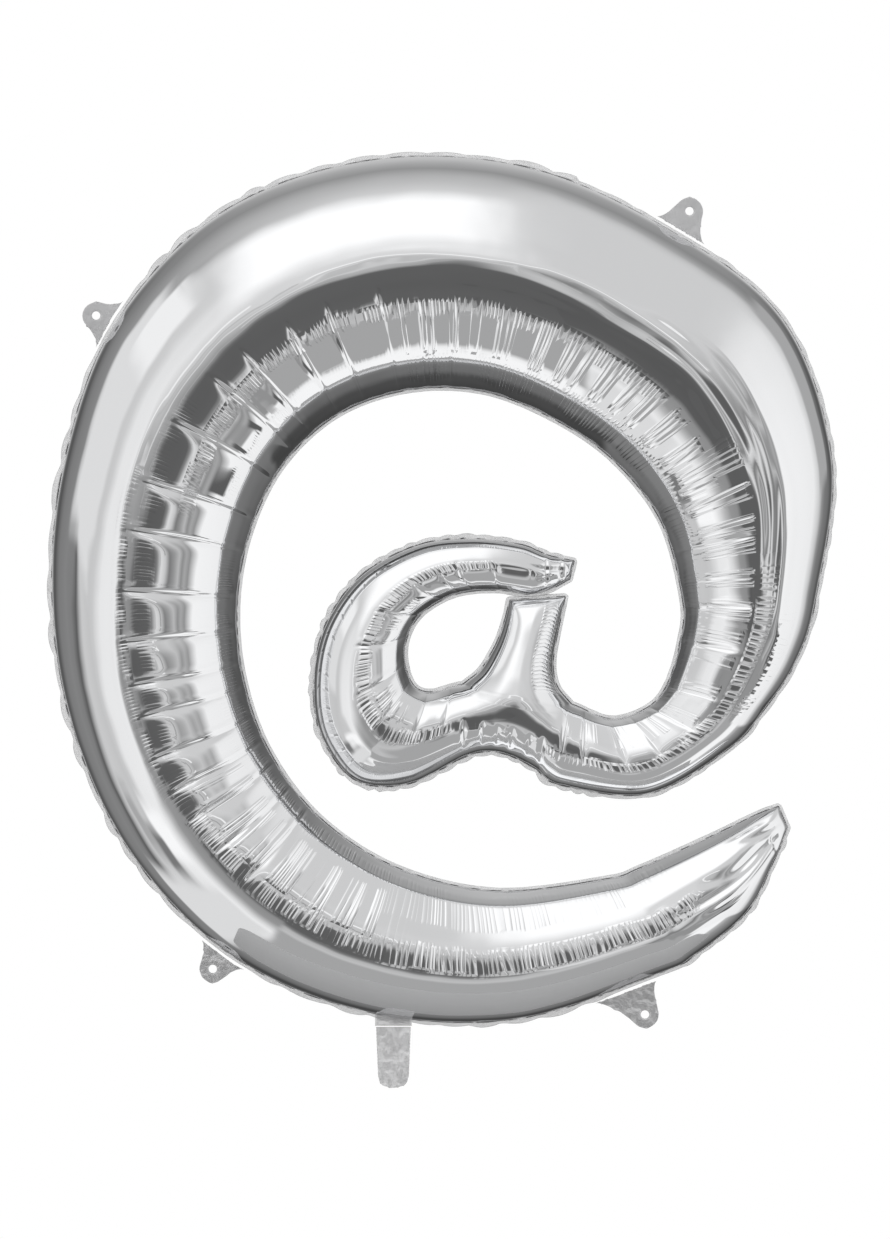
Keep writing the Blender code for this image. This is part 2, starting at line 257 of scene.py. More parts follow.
@dataclass(frozen=True)
class MirrorFoil:
    """Film with a bright metal coat: a clear mirror with fine pleats where it is gathered.

    The pleats follow the number "pleat_count" on the mesh, and "pleat_depth" gives their depth.
    """

    name: str = "mirror_foil"
    tint: tuple = (0.93, 0.935, 0.945, 1.0)
    roughness: float = 0.028
    rough_spread: float = 0.02
    uneven: float = 0.75
    flatness: float = 0.7
    least_pleat: float = 0.1
    crinkle_height: float = 0.00004
    crinkle_from_depth: float = 0.0002
    swell_height: float = 0.0013
    crinkle_scale: float = 110.0
    swell_scale: float = 11.0
    haze_scale: float = 14.0

    def material(self) -> bpy.types.Material:
        """Build the finish.

        Returns:
            The material.
        """
        material, s = new_material(self.name)
        place = s.place()
        count = s.attribute("pleat_count")
        depth = s.attribute("pleat_depth")
        pillow = (abs(s.math("SINE", count * math.pi)) + 0.001) ** self.flatness
        mix = s.value(s.node("ShaderNodeTexNoise", {"noise_dimensions": "1D"},
                             {"W": count * 0.9, "Scale": 1.0, "Detail": 1.0}))
        uneven = (mix - 0.5) * (2.4 * self.uneven) + 1.0
        crinkle = s.noise(place, self.crinkle_scale, 3.0) - 0.5
        height = pillow * depth * uneven.atleast(self.least_pleat)
        height = height + crinkle * depth.rise(0.0, self.crinkle_from_depth) * self.crinkle_height
        height = height + s.noise(place, self.swell_scale) * self.swell_height
        haze = s.noise(place, self.haze_scale, 3.0)
        s.surface(Base_Color=self.tint, Metallic=1.0, Normal=s.bump(height),
                  Roughness=haze * self.rough_spread + (self.roughness - 0.5 * self.rough_spread))
        return material


@dataclass(frozen=True)
class SealedFilm:
    """Two films welded flat: pale and see-through, with painted shade on the cockles at the root where the
    strip meets the blown film, a painted dark line along the outer rim and painted light on the cockles'
    crests.
    """

    name: str = "sealed_film"
    shade: float = 0.92
    line_shade: float = 0.14
    alpha: float = 0.42
    roughness: float = 0.35
    metal: float = 0.18
    cockle_height: float = 0.0005
    cockle_scale: float = 80.0
    # places across the strip: the painted shade at its root, then the painted dark line at its outer rim
    weld_root_shade: tuple = (0.36, 0.12)
    rim: tuple = (0.93, 0.98)

    def material(self) -> bpy.types.Material:
        """Build the finish.

        Returns:
            The material.
        """
        material, s = new_material(self.name)
        share = s.attribute("edge_share")
        cockle = s.noise(s.place(), self.cockle_scale)
        # painted shade: darkens the high cockles near the strip's root, where it meets the blown film, and
        # paints a dark line along the outer rim
        painted_shade_mask = (share.rise(*self.weld_root_shade) * cockle.rise(0.40, 0.56)).atleast(share.rise(*self.rim) * 0.5)
        # painted light: the grey is lighter where the cockle bump is higher
        tone = (cockle.rise(0.2, 0.6) * 0.2 + (self.shade - 0.2)).toward(self.line_shade, painted_shade_mask)
        s.surface(Base_Color=s.grey(tone, 1.01), Metallic=self.metal, Roughness=self.roughness,
                  Alpha=painted_shade_mask * (1.0 - self.alpha) + self.alpha, Normal=s.bump(cockle * self.cockle_height))
        return material


@dataclass(frozen=True)
class ThinFilm:
    """Film of the tabs and the tail: grey, slightly see-through and crinkled, its grey painted darker in the
    crinkles' hollows and lighter on their crests.
    """

    name: str
    shade: float
    alpha: float
    metal: float
    crinkle_height: float
    crinkle_scale: float = 60.0
    roughness: float = 0.22

    def material(self) -> bpy.types.Material:
        """Build the finish.

        Returns:
            The material.
        """
        material, s = new_material(self.name)
        crinkle = s.noise(s.place(), self.crinkle_scale, 4.0, Roughness=0.55, Distortion=0.8)
        # painted shade and light: the grey follows the crinkle's height, darker in its hollows and lighter
        # on its crests
        s.surface(Base_Color=s.grey(crinkle * 0.3 + (self.shade - 0.15), 1.01), Metallic=self.metal,
                  Roughness=self.roughness, Alpha=self.alpha, Normal=s.bump(crinkle * self.crinkle_height))
        return material


def padded(values: np.ndarray, even: bool = False) -> np.ndarray:
    """Values with one more at each end of their first axis.

    Args:
        values: the values.
        even: mirror them past the ends, rather than carry them on in a straight line.

    Returns:
        The longer array.
    """
    if even:
        return np.concatenate([values[1:2], values, values[-2:-1]])
    return np.concatenate([2 * values[:1] - values[1:2], values, 2 * values[-1:] - values[-2:-1]])


def spline_weights(at: np.ndarray, count: int) -> tuple[np.ndarray, list]:
    """Where to read a Catmull-Rom curve.

    Args:
        at: fractional places among values 0, 1, 2 and so on.
        count: how many values there are.

    Returns:
        The first of the four padded values that each place needs, and the weights of the four.
    """
    first = np.clip(np.floor(at).astype(int), 0, count - 2)
    t = at - first
    return first, [0.5 * (2 * t ** 2 - t - t ** 3), 0.5 * (2 - 5 * t ** 2 + 3 * t ** 3),
                   0.5 * (t + 4 * t ** 2 - 3 * t ** 3), 0.5 * (t ** 3 - t ** 2)]


def read_curve(values: np.ndarray, at: np.ndarray) -> np.ndarray:
    """Read a smooth curve through values.

    Args:
        values: the values along the first axis.
        at: fractional places, an array of any shape.

    Returns:
        An array with the shape of at, then that of one value.
    """
    first, weights = spline_weights(at, len(values))
    longer = padded(values)
    extra = (1,) * (values.ndim - 1)
    return sum(weight.reshape(weight.shape + extra) * longer[first + k] for k, weight in enumerate(weights))


def read_grid(values: np.ndarray, at: np.ndarray, turn: np.ndarray, even: bool = True) -> np.ndarray:
    """Read a smooth surface through a grid of values.

    Args:
        values: the grid.
        at: fractional places along its first axis.
        turn: fractional places along its second axis, of the same shape.
        even: the second axis is mirrored past its ends.

    Returns:
        The values read.
    """
    longer = padded(padded(values).T, even).T
    first, first_weights = spline_weights(at, values.shape[0])
    second, second_weights = spline_weights(turn, values.shape[1])
    return sum(a * b * longer[first + i, second + j]
               for i, a in enumerate(first_weights) for j, b in enumerate(second_weights))


def smooth_step(values: np.ndarray | float, low: float, high: float) -> np.ndarray:
    """Smooth step from 0 at low to 1 at high, or the other way round where low is larger."""
    t = np.clip((values - low) / (high - low), 0, 1)
    return t * t * (3 - 2 * t)


def lengths(points: np.ndarray, axis: int = 0) -> np.ndarray:
    """Running length along one axis of a grid or a path of points.

    Args:
        points: the points, with their coordinates on the last axis.
        axis: the axis to run along.

    Returns:
        The lengths, 0 at the start.
    """
    steps = np.linalg.norm(np.diff(points, axis=axis), axis=-1)
    start = np.zeros_like(np.take(steps, [0], axis=axis))
    return np.concatenate([start, np.cumsum(steps, axis=axis)], axis=axis)


def sideways(path: np.ndarray) -> np.ndarray:
    """Unit normals of a closed path in a plane.

    Args:
        path: its points.

    Returns:
        A normal for each point, to the left of the path's run.
    """
    run = np.roll(path, -2, axis=0) - np.roll(path, 2, axis=0)
    run = run + 0.5 * (np.roll(run, 1, axis=0) + np.roll(run, -1, axis=0))
    run /= np.linalg.norm(run, axis=1)[:, None] + 1e-12
    return np.stack([-run[:, 1], run[:, 0]], axis=1)


@dataclass
class StrokePattern:
    """Flat cut of the chamber and its swell under pressure: one long stroke with a stem.

    A cut is a line across the stroke, given by the ends of its inner and outer side. The slopes in
    degrees are those of the film across the stroke's inner half, from the crown at 0 to the inner
    seam at 1, and the crowns give the crown's place across the stroke at some cuts.
    """

    end_cuts_mm: tuple = ((300, -186, 308, -205), (281, -193, 296, -234),
                          (237, -214, 271, -281), (176, -241, 225, -319))
    ring_cuts_mm: tuple = (
        (300, 290, 387), (280, 266, 382), (260, 245, 377), (240, 226, 373), (220, 208, 363),
        (200, 194, 354), (180, 187, 353), (160, 186, 364), (140, 190, 387), (120, 193, 402),
        (100, 192, 401), (80, 191, 396), (60, 190, 389), (40, 197, 395), (20, 207, 370),
        (0, 214, 333), (350, 215, 320))
    letter_cuts_mm: tuple = (
        (200, -76, 288, -97), (182, -97, 256, -133), (149, -107, 183, -174), (114, -94, 104, -166),
        (90, -90, 81, -151), (66, -86, 59, -140), (41, -81, 39, -136), (16, -76, 17, -141),
        (-13, -83, -33, -165), (-29, -76, -80, -162), (-36, -54, -111, -122), (-34, -33, -118, -72),
        (-22, -13, -107, -22), (1, 2, -75, 22), (23, 8, -25, 49), (49, 9, 23, 55), (75, 5, 67, 50),
        (93, 9, 93, 40), (112, 19, 116, 35))
    stem_cuts_mm: tuple = ((58, 0, 108, 3), (55, -14, 104, -16), (49, -33, 100, -36),
                           (41, -49, 97, -58), (31, -64, 101, -78))
    stem_first_cut: int = 24
    stem_last_cut: int = 28
    inflation: float = 0.84
    crown: float = 0.53
    crowns: tuple = ((0, 0.56), (4, 0.57), (8, 0.57), (10, 0.54), (12, 0.53), (18, 0.53), (20, 0.60),
                     (22, 0.65), (24, 0.64), (28.5, 0.50), (39, 0.50))
    slopes: tuple = ((0.0, 0.0), (0.698, 34.5), (0.785, 39.0), (0.815, 62.0), (0.87, 65.0), (0.93, 70.0),
                     (1.0, 72.0))
    solve_steps: int = 3
    solve_rows: int = 14
    stem_solve_steps: int = 2
    stem_blend: tuple = (0.9, 0.1)
    end_blend: tuple = (1.6, 0.3)

    def __post_init__(self) -> None:
        """Place the cuts, solve the swell and work out the profile."""
        ring = [[self.ring_point(angle, inner), self.ring_point(angle, outer)]
                for angle, inner, outer in self.ring_cuts_mm]
        self.cuts = np.concatenate([np.reshape(self.end_cuts_mm, (-1, 2, 2)), ring,
                                    np.reshape(self.letter_cuts_mm, (-1, 2, 2))]) * MM
        self.last_cut = len(self.cuts) - 1
        self.solve()
        self.shape_profile()

    @staticmethod
    def ring_point(angle_deg: float, radius_mm: float) -> list:
        """Point of the seam plane, in x and z, at an angle and a radius about the origin."""
        angle = math.radians(angle_deg)
        return [radius_mm * math.cos(angle), radius_mm * math.sin(angle)]

    def cut_at_angle(self, angle_deg: float) -> float:
        """Place along the stroke, in cuts, of a ray of the ring at that angle.

        Args:
            angle_deg: the angle from +X, below 0 at the lower right.

        Returns:
            The place.
        """
        first = len(self.end_cuts_mm)
        if angle_deg >= 0:
            return first + (300 - angle_deg) / 20
        return first + 15 - angle_deg / 10

    def flat(self, along: np.ndarray, across: np.ndarray) -> np.ndarray:
        """Points of the flat pattern.

        Args:
            along: places along the stroke.
            across: places across it, in the same shape or one that stretches to it.

        Returns:
            An array of x and z on its last axis.
        """
        cuts = read_curve(self.cuts, along)
        share = across[..., None]
        return cuts[..., 0, :] * (1 - share) + cuts[..., 1, :] * share

    def stem_flat(self, foot: np.ndarray, down: np.ndarray) -> np.ndarray:
        """Points of the stem's flat pattern.

        Args:
            foot: the points of the stroke's inner edge that the stem stands on.
            down: places down the stem, from 0 at its top, in stem cuts.

        Returns:
            An array: down, along the foot, x and z.
        """
        run = lengths(foot)
        share = (run / run[-1])[None, :, None]
        cuts = np.concatenate([np.reshape(self.stem_cuts_mm, (-1, 2, 2)) * MM, [[foot[-1], foot[0]]]])
        rows = read_curve(cuts, down)
        points = rows[:, 1:] * (1 - share) + rows[:, :1] * share
        straight_foot = foot[:1] * (1 - share[0]) + foot[-1:] * share[0]
        last = len(cuts) - 1
        pull = np.clip((down - (last - 2)) / 2, 0, 1) ** 2
        return points + pull[:, None, None] * (foot - straight_foot)[None]

    def solve(self) -> None:
        """Solve the swell of a blown film on a coarse grid of the pattern, by finite elements."""
        along = np.arange(self.last_cut * self.solve_steps + 1) / self.solve_steps
        across = 0.5 - 0.5 * np.cos(math.pi * np.arange(self.solve_rows + 1) / self.solve_rows)
        main = self.flat(along[:, None], across[None])
        index = np.arange(main.shape[0] * main.shape[1]).reshape(main.shape[:2])
        first, last = self.stem_first_cut * self.solve_steps, self.stem_last_cut * self.solve_steps
        down = np.arange(len(self.stem_cuts_mm) * self.stem_solve_steps) / self.stem_solve_steps
        stem = self.stem_flat(main[first:last + 1, 0], down)
        stem_index = np.concatenate([index.size + np.arange(stem[..., 0].size).reshape(stem.shape[:2]),
                                     index[first:last + 1, 0][None]])
        points = np.concatenate([main.reshape(-1, 2), stem.reshape(-1, 2)])
        cells = np.concatenate([self.grid_cells(index), self.grid_cells(stem_index)])
        corners = np.concatenate([cells[:, [0, 1, 2]], cells[:, [0, 2, 3]]])
        seam = np.unique(np.concatenate([
            index[:, -1], index[0], index[-1], index[:first + 1, 0], index[last:, 0],
            stem_index[0], stem_index[:, 0], stem_index[:, -1]]))
        swell = self.membrane(points, corners, seam)
        self.swell = swell[index]
        self.stem_swell = swell[stem_index]

    @staticmethod
    def grid_cells(index: np.ndarray) -> np.ndarray:
        """Corner indices of a grid's cells."""
        corners = [index[:-1, :-1], index[1:, :-1], index[1:, 1:], index[:-1, 1:]]
        return np.stack(corners, axis=-1).reshape(-1, 4)

    @staticmethod
    def membrane(points: np.ndarray, corners: np.ndarray, seam: np.ndarray) -> np.ndarray:
        """Swell of a film under even pressure, held at its seam.

        Args:
            points: the flat points.
            corners: three point indices for each triangle.
            seam: indices of the points that are held.

        Returns:
            The swell at each point, in square metres.
        """
        p = points[corners]
        area = 0.5 * np.abs((p[:, 1, 0] - p[:, 0, 0]) * (p[:, 2, 1] - p[:, 0, 1])
                            - (p[:, 1, 1] - p[:, 0, 1]) * (p[:, 2, 0] - p[:, 0, 0]))
        stiffness = np.zeros((len(points), len(points)))
        load = np.zeros(len(points))
        for i in range(3):
            np.add.at(load, corners[:, i], area / 3)
            for j in range(3):
                edge_i = p[:, (i + 2) % 3] - p[:, (i + 1) % 3]
                edge_j = p[:, (j + 2) % 3] - p[:, (j + 1) % 3]
                pull = (edge_i * edge_j).sum(axis=1) / (4 * area)
                np.add.at(stiffness, (corners[:, i], corners[:, j]), pull)
        free = np.setdiff1d(np.arange(len(points)), seam)
        swell = np.zeros(len(points))
        swell[free] = np.linalg.solve(stiffness[np.ix_(free, free)], load[free])
        return swell

    def shape_profile(self) -> None:
        """Work out where to read the even solved swell, so that the film gets its own profile.

        The crown lies a little outside the middle, and a steep band runs along the inner seam.
        """
        across = np.linspace(0, 1, 801)
        share = np.linspace(0, 1, 801)
        shares, slopes = zip(*self.slopes)
        slope = np.tan(np.radians(np.interp(share, shares, slopes)))
        fall = np.concatenate([[0], np.cumsum(0.5 * (slope[1:] + slope[:-1]))])
        height = 1 - fall / fall[-1]
        inner = 0.5 * (1 - np.sqrt(1 - np.clip(height, 0, 1) ** 2))
        outer = 0.5 * (1 + (across - self.crown) / (1 - self.crown))
        inner = np.interp((self.crown - across) / self.crown, share, inner)
        read = np.where(across < self.crown, inner, outer)
        self.profile = (across, np.arccos(np.clip(1 - 2 * read, -1, 1)) / math.pi)

    def lift(self, along: np.ndarray, across: np.ndarray) -> np.ndarray:
        """Height of the blown film over the seam plane.

        Args:
            along: places along the stroke.
            across: places across it, in the same shape.

        Returns:
            The heights.
        """
        plain = np.arccos(1 - 2 * across) / math.pi
        crown = np.interp(along, *zip(*self.crowns))
        shift = np.sin(math.pi * np.clip((across - 0.1) / 0.9, 0, 1)) / np.sin(math.pi * (crown - 0.1) / 0.9)
        shaped = np.interp(across + (self.crown - crown) * shift, *self.profile)
        far, near = self.stem_blend
        near_stem = smooth_step(along, self.stem_first_cut - far, self.stem_first_cut - near)
        near_stem = near_stem * smooth_step(along, self.stem_last_cut + far, self.stem_last_cut + near)
        near_end = smooth_step(along, *self.end_blend)
        blend = np.maximum(near_stem, near_end)
        turn = shaped * (1 - blend) + plain * blend
        swell = read_grid(self.swell, along * self.solve_steps, turn * self.solve_rows)
        return self.inflation * np.sqrt(2 * np.maximum(swell, 0))

    def stem_lift(self, along: np.ndarray, down: np.ndarray) -> np.ndarray:
        """Height of the blown film over the seam plane on the stem.

        Args:
            along: places along the stroke, of the columns.
            down: places down the stem, of the rows.

        Returns:
            The heights, by row and column.
        """
        at, turn = np.meshgrid(down * self.stem_solve_steps,
                               (along - self.stem_first_cut) * self.solve_steps, indexing="ij")
        swell = read_grid(self.stem_swell, at, turn, even=False)
        return self.inflation * np.sqrt(2 * np.maximum(swell, 0))


@dataclass(frozen=True)
class Zone:
    """A patch of the stroke with close fine pleats, between two cuts and two places across.

    Gaps is the share of the patch that stays taut, from 0 to 1.
    """

    first_cut: float
    last_cut: float
    start: float
    end: float
    depth_mm: float
    gaps: float = 0.0


@dataclass(frozen=True)
class SoftFold:
    """A long soft fold that runs along the stroke, sinking or rising between its two ends."""

    first_cut: float
    last_cut: float
    first_across: float
    last_across: float
    height_mm: float
    width_mm: float


@dataclass
class BlownFilm:
    """One blown sheet of mirror film with its creases, fine pleats and soft folds.

    The ring's creases are listed by angle and all others by cut. The columns of both tables are the
    crease's place, its lean at the inner seam, its start and end across the stroke and its size.
    """

    side: Side
    pattern: StrokePattern
    name: str
    node: str
    seed: int
    ring_creases_deg: tuple = (
        (234.5, 2.0, 0.0, 0.60, 1.1), (227.7, 2.5, 0.0, 0.60, 1.2), (221, 2.5, 0.0, 0.61, 1.2),
        (215, 2.5, 0.0, 0.61, 1.1), (208.6, 2.5, 0.0, 0.64, 1.4), (201, 2.3, 0.0, 0.61, 1.1),
        (195.3, 2.0, 0.0, 0.62, 1.1), (187.5, 0.8, 0.0, 0.63, 1.4), (178.4, 0.6, 0.0, 0.62, 1.4),
        (167.5, -1.0, 0.0, 0.60, 1.2), (158.6, -1.4, 0.0, 0.58, 1.2), (146.8, -1.5, 0.0, 0.53, 1.2),
        (136.7, -1.3, 0.0, 0.48, 1.0), (129.7, -1.0, 0.0, 0.46, 0.9), (120, -0.3, 0.0, 0.43, 0.7),
        (112, 0.0, 0.0, 0.43, 0.7), (102.4, 0.0, 0.0, 0.43, 0.7), (95.5, 0.0, 0.0, 0.38, 0.6),
        (88.5, 0.0, 0.0, 0.38, 0.6))
    cut_creases: tuple = (
        (0.8, 0.1, 0.55, 0.95, 1.3),
        (18.4, 0.0, 0.0, 0.50, 0.9), (18.75, 0.0, 0.0, 0.52, 0.7), (19.1, 0.0, 0.0, 0.52, 1.0),
        (20.0, 0.0, 0.0, 0.50, 1.0), (21.1, -0.05, 0.0, 0.52, 0.8), (22.0, -0.05, 0.0, 0.58, 0.8),
        (22.6, -0.05, 0.0, 0.66, 1.0), (23.1, -0.05, 0.0, 0.60, 0.8), (23.7, -0.05, 0.0, 0.70, 1.1),
        (24.1, 0.0, 0.0, 0.66, 1.0), (24.9, 0.0, 0.50, 0.92, 1.3), (25.4, 0.0, 0.52, 0.90, 1.2),
        (26.1, 0.0, 0.50, 0.92, 1.4), (26.7, 0.0, 0.52, 0.90, 1.2), (27.3, 0.0, 0.50, 0.90, 1.2),
        (28.0, 0.0, 0.45, 0.88, 1.2), (28.5, -0.1, 0.0, 0.5, 0.6), (29.2, -0.1, 0.0, 0.55, 1.0),
        (30.3, -0.1, 0.0, 0.50, 0.7), (31.2, -0.3, 0.0, 0.56, 1.0), (32.4, -0.35, 0.0, 0.60, 1.0),
        (33.3, -0.3, 0.0, 0.55, 0.8), (34.3, -0.4, 0.0, 0.58, 1.0), (34.9, -0.3, 0.0, 0.5, 0.7),
        (35.4, -0.3, 0.0, 0.58, 1.0), (36.2, -0.2, 0.0, 0.55, 1.0), (37.3, -0.1, 0.0, 0.55, 0.8),
        (37.9, 0.0, 0.1, 0.92, 1.5), (38.5, 0.1, 0.05, 0.95, 1.6))
    crease_depth_mm: float = 1.5
    crease_left_mm: float = 5.0
    crease_right_mm: float = 2.0
    crease_spread: tuple = (0.85, 1.15)
    crease_swell: tuple = (0.35, 0.65)
    crease_deepest: float = 0.6
    crease_swell_width: float = 0.17
    crease_sharpness: float = 1.4
    ridge_mm: float = 4.2
    ridge_width_mm: float = 1.6
    ridge_share: float = 0.22
    letter_from: float = 22.0
    letter_share: float = 0.65
    panel_swing_mm: float = 0.5
    widest_panel: float = 1.2
    shortest_panel: float = 0.2
    column_mm: float = 2.9
    crease_crowd: float = 600.0
    crease_crowd_reach: float = 0.0045
    end_crowd: float = 900.0
    stem_crowd: float = 500.0
    end_crowd_reach: float = 0.004
    rows: int = 88
    row_spacing: tuple = (0.74, 0.26)
    stem_rows: int = 30
    seam_gap: float = 0.0009
    seam_lip: float = 0.0015
    pleats_mm: tuple = ((0, 4.6), (6, 4.6), (8, 3.6), (12, 3.6), (13, 5.0), (20, 5.2), (22, 4.2), (28, 3.6),
                        (39, 3.6))
    stem_pleats: tuple = (0.10, 0.34, 0.15, 0.85)
    stem_pleat_depth_mm: float = 0.35
    zone_ends: float = 0.2
    zone_sides: float = 0.012
    zone_sway: float = 0.006
    zone_calm: float = 0.3
    fold_sway: float = 0.012
    fold_sway_pace: float = 3.1
    fold_taper: float = 0.7
    foot_smoothing: int = 12
    foot_reach: float = 0.07
    foot_radius: float = 0.06
    foot_distance: float = 0.011
    zones: tuple = (
        Zone(2.6, 6.0, 0.44, 0.62, 0.45), Zone(2.6, 6.4, 0.05, 0.30, 0.12),
        Zone(6.0, 8.2, 0.17, 0.48, 0.35, 0.5), Zone(6.0, 8.2, 0.50, 0.60, 0.30),
        Zone(8.2, 11.0, 0.60, 0.635, 0.20), Zone(8.2, 11.8, 0.46, 0.54, 0.07),
        Zone(8.2, 14.0, 0.13, 0.165, 0.07), Zone(6.0, 10.5, 0.04, 0.11, 0.20),
        Zone(11.0, 13.6, 0.30, 0.36, 0.40), Zone(13.6, 16.8, 0.30, 0.36, 0.50),
        Zone(14.0, 18.2, 0.15, 0.345, 0.40, 0.5), Zone(17.6, 19.4, 0.17, 0.50, 0.40, 0.5),
        Zone(18.7, 22.2, 0.54, 0.66, 0.50), Zone(19.2, 21.2, 0.75, 0.85, 0.30),
        Zone(19.2, 22.0, 0.15, 0.48, 0.26, 0.6), Zone(14.0, 21.5, 0.04, 0.13, 0.25),
        Zone(22.0, 24.6, 0.60, 0.70, 0.45), Zone(21.5, 24.0, 0.10, 0.40, 0.15, 0.5),
        Zone(28.4, 31.0, 0.44, 0.56, 0.40), Zone(31.2, 33.8, 0.40, 0.52, 0.34),
        Zone(33.8, 36.3, 0.42, 0.56, 0.42),
        Zone(32.6, 34.2, 0.18, 0.30, 0.22, 0.5), Zone(29.8, 31.0, 0.20, 0.40, 0.22, 0.5))
    folds: tuple = (
        SoftFold(16.2, 19.5, 0.645, 0.69, 1.5, 5), SoftFold(16.8, 20.0, 0.68, 0.75, 1.0, 5),
        SoftFold(15.2, 18.8, 0.59, 0.63, 0.9, 4), SoftFold(13.2, 17.5, 0.55, 0.57, 0.5, 4),
        SoftFold(16.6, 18.6, 0.53, 0.56, 0.8, 3.5), SoftFold(14.4, 18.2, 0.485, 0.50, 0.5, 3),
        SoftFold(12.4, 16.0, 0.515, 0.50, 0.3, 3), SoftFold(15.8, 18.8, 0.455, 0.53, 0.7, 3),
        SoftFold(16.4, 19.0, 0.50, 0.60, -0.8, 3), SoftFold(15.4, 17.6, 0.60, 0.61, -0.6, 3),
        SoftFold(16.9, 19.2, 0.63, 0.66, -0.8, 3),
        SoftFold(8.2, 11.8, 0.665, 0.62, 0.8, 3.5), SoftFold(8.5, 12.5, 0.80, 0.86, 0.7, 9),
        SoftFold(0.1, 2.4, 0.75, 0.42, -2.4, 5), SoftFold(0.2, 3.2, 0.45, 0.62, -1.6, 6),
        SoftFold(0.0, 1.6, 0.55, 0.25, -1.6, 4), SoftFold(1.2, 3.6, 0.30, 0.34, 1.2, 7),
        SoftFold(0.5, 3.4, 0.72, 0.52, -1.1, 2.6), SoftFold(0.6, 3.0, 0.79, 0.60, 0.9, 2.6),
        SoftFold(0.5, 2.7, 0.86, 0.70, -0.9, 2.6), SoftFold(0.3, 1.8, 0.36, 0.16, 1.1, 3),
        SoftFold(37.0, 38.9, 0.62, 0.52, -1.0, 2.4), SoftFold(37.4, 38.9, 0.30, 0.42, -0.9, 2.2),
        SoftFold(28.2, 31.0, 0.74, 0.70, 0.7, 5))

    def __post_init__(self) -> None:
        """List the creases along the stroke and lay out the columns and rows."""
        ring = [(self.pattern.cut_at_angle(angle), -lean / 20, *rest)
                for angle, lean, *rest in self.ring_creases_deg]
        rows = np.array(sorted(ring + list(self.cut_creases)))
        self.creases, leans, self.starts, self.ends, self.sizes = rows.T
        self.along = self.columns()
        part = np.linspace(0, 1, self.rows + 1)
        turn = part * (self.row_spacing[0] + self.row_spacing[1] * part)
        self.across = 0.5 - 0.5 * np.cos(math.pi * turn)
        held = [0, self.pattern.stem_first_cut, self.pattern.stem_last_cut, self.pattern.last_cut]
        stops = np.concatenate([self.creases, held])
        order = np.argsort(stops)
        lean = np.interp(self.along, stops[order], np.concatenate([leans, np.zeros(len(held))])[order])
        self.places = self.along[:, None] + lean[:, None] * smooth_step(self.across, 0.66, 0.06)[None]

    def columns(self) -> np.ndarray:
        """Places of the columns along the stroke, crowded at creases and the two ends.

        Returns:
            The places in cuts, with the stem's first and last cut among them.
        """
        dense = np.linspace(0, self.pattern.last_cut, 8001)
        run = lengths(self.pattern.flat(dense, np.full(len(dense), 0.45)))
        density = np.full(len(dense), 1 / (self.column_mm * MM))
        for crease in self.creases:
            away = (run - np.interp(crease, dense, run)) / self.crease_crowd_reach
            density += self.crease_crowd * np.exp(-away ** 2)
        reach = self.end_crowd_reach
        density += self.end_crowd * (np.exp(-run / reach) + np.exp(-(run[-1] - run) / reach))
        for cut in (self.pattern.stem_first_cut, self.pattern.stem_last_cut):
            density += self.stem_crowd * np.exp(-np.abs(run - np.interp(cut, dense, run)) / reach)
        count = np.concatenate([[0], np.cumsum(0.5 * (density[1:] + density[:-1]) * np.diff(run))])
        stops = [0, self.pattern.stem_first_cut, self.pattern.stem_last_cut, self.pattern.last_cut]
        places = []
        for first, last in zip(stops, stops[1:]):
            low, high = np.interp([first, last], dense, count)
            places.append(np.interp(np.linspace(low, high, int(high - low) + 1), count, dense)[:-1])
        return np.concatenate(places + [[self.pattern.last_cut]])

    def base(self) -> np.ndarray:
        """The smooth blown surface.

        Returns:
            An array: along, across, then x, y and z, with y counted outwards.
        """
        across = np.broadcast_to(self.across, self.places.shape)
        flat = self.pattern.flat(self.places, across)
        return np.stack([flat[..., 0], self.pattern.lift(self.places, across), flat[..., 1]], axis=-1)

    def read(self, values: np.ndarray, place: float) -> np.ndarray:
        """Values of one column.

        Args:
            values: an array with the columns on its first axis.
            place: the column's place, in cuts.

        Returns:
            The values there.
        """
        index = np.clip(np.searchsorted(self.along, place) - 1, 0, len(self.along) - 2)
        t = (place - self.along[index]) / (self.along[index + 1] - self.along[index])
        return values[index] * (1 - t) + values[index + 1] * t

    def faceted(self, points: np.ndarray, run: np.ndarray) -> np.ndarray:
        """Draw the film straight from crease to crease, each panel with a slight swell of its own.

        Args:
            points: the smooth surface.
            run: length along each row.

        Returns:
            The surface with nearly flat panels.
        """
        result = points.copy()
        rng = np.random.default_rng(self.seed)
        for index in range(len(self.creases) - 1):
            first, last = self.creases[index:index + 2]
            swing = rng.uniform(-1, 1, 2) * self.panel_swing_mm * MM
            inside = (self.along > first) & (self.along < last)
            if last - first > self.widest_panel or not inside.any():
                continue
            start, end = max(self.starts[index:index + 2]), min(self.ends[index:index + 2])
            if end - start < self.shortest_panel:
                continue
            weight = smooth_step(self.across, end, end - 0.10)
            weight = weight * smooth_step(self.across, start + 0.04, start + 0.14)
            a, b = self.read(points, first), self.read(points, last)
            run_a, run_b = self.read(run, first), self.read(run, last)
            share = ((run[inside] - run_a) / (run_b - run_a))[..., None]
            straight = a * (1 - share) + b * share
            turn = math.pi * self.across / end
            wave = swing[0] * np.sin(turn) + swing[1] * np.sin(2 * turn)
            straight[..., 1] += (wave * weight)[None] * np.minimum(1, 6 * share * (1 - share))[..., 0]
            result[inside] = points[inside] + (straight - points[inside]) * weight[None, :, None]
        return result

    def outward(self, points: np.ndarray) -> np.ndarray:
        """Unit normals of a grid of points, on the side where y grows.

        Args:
            points: the grid.

        Returns:
            A normal for each point.
        """
        normal = np.cross(np.gradient(points, axis=1), np.gradient(points, axis=0))
        normal /= np.linalg.norm(normal, axis=-1)[..., None] + 1e-12
        return normal * np.sign(normal[:, normal.shape[1] // 2, 1].sum())

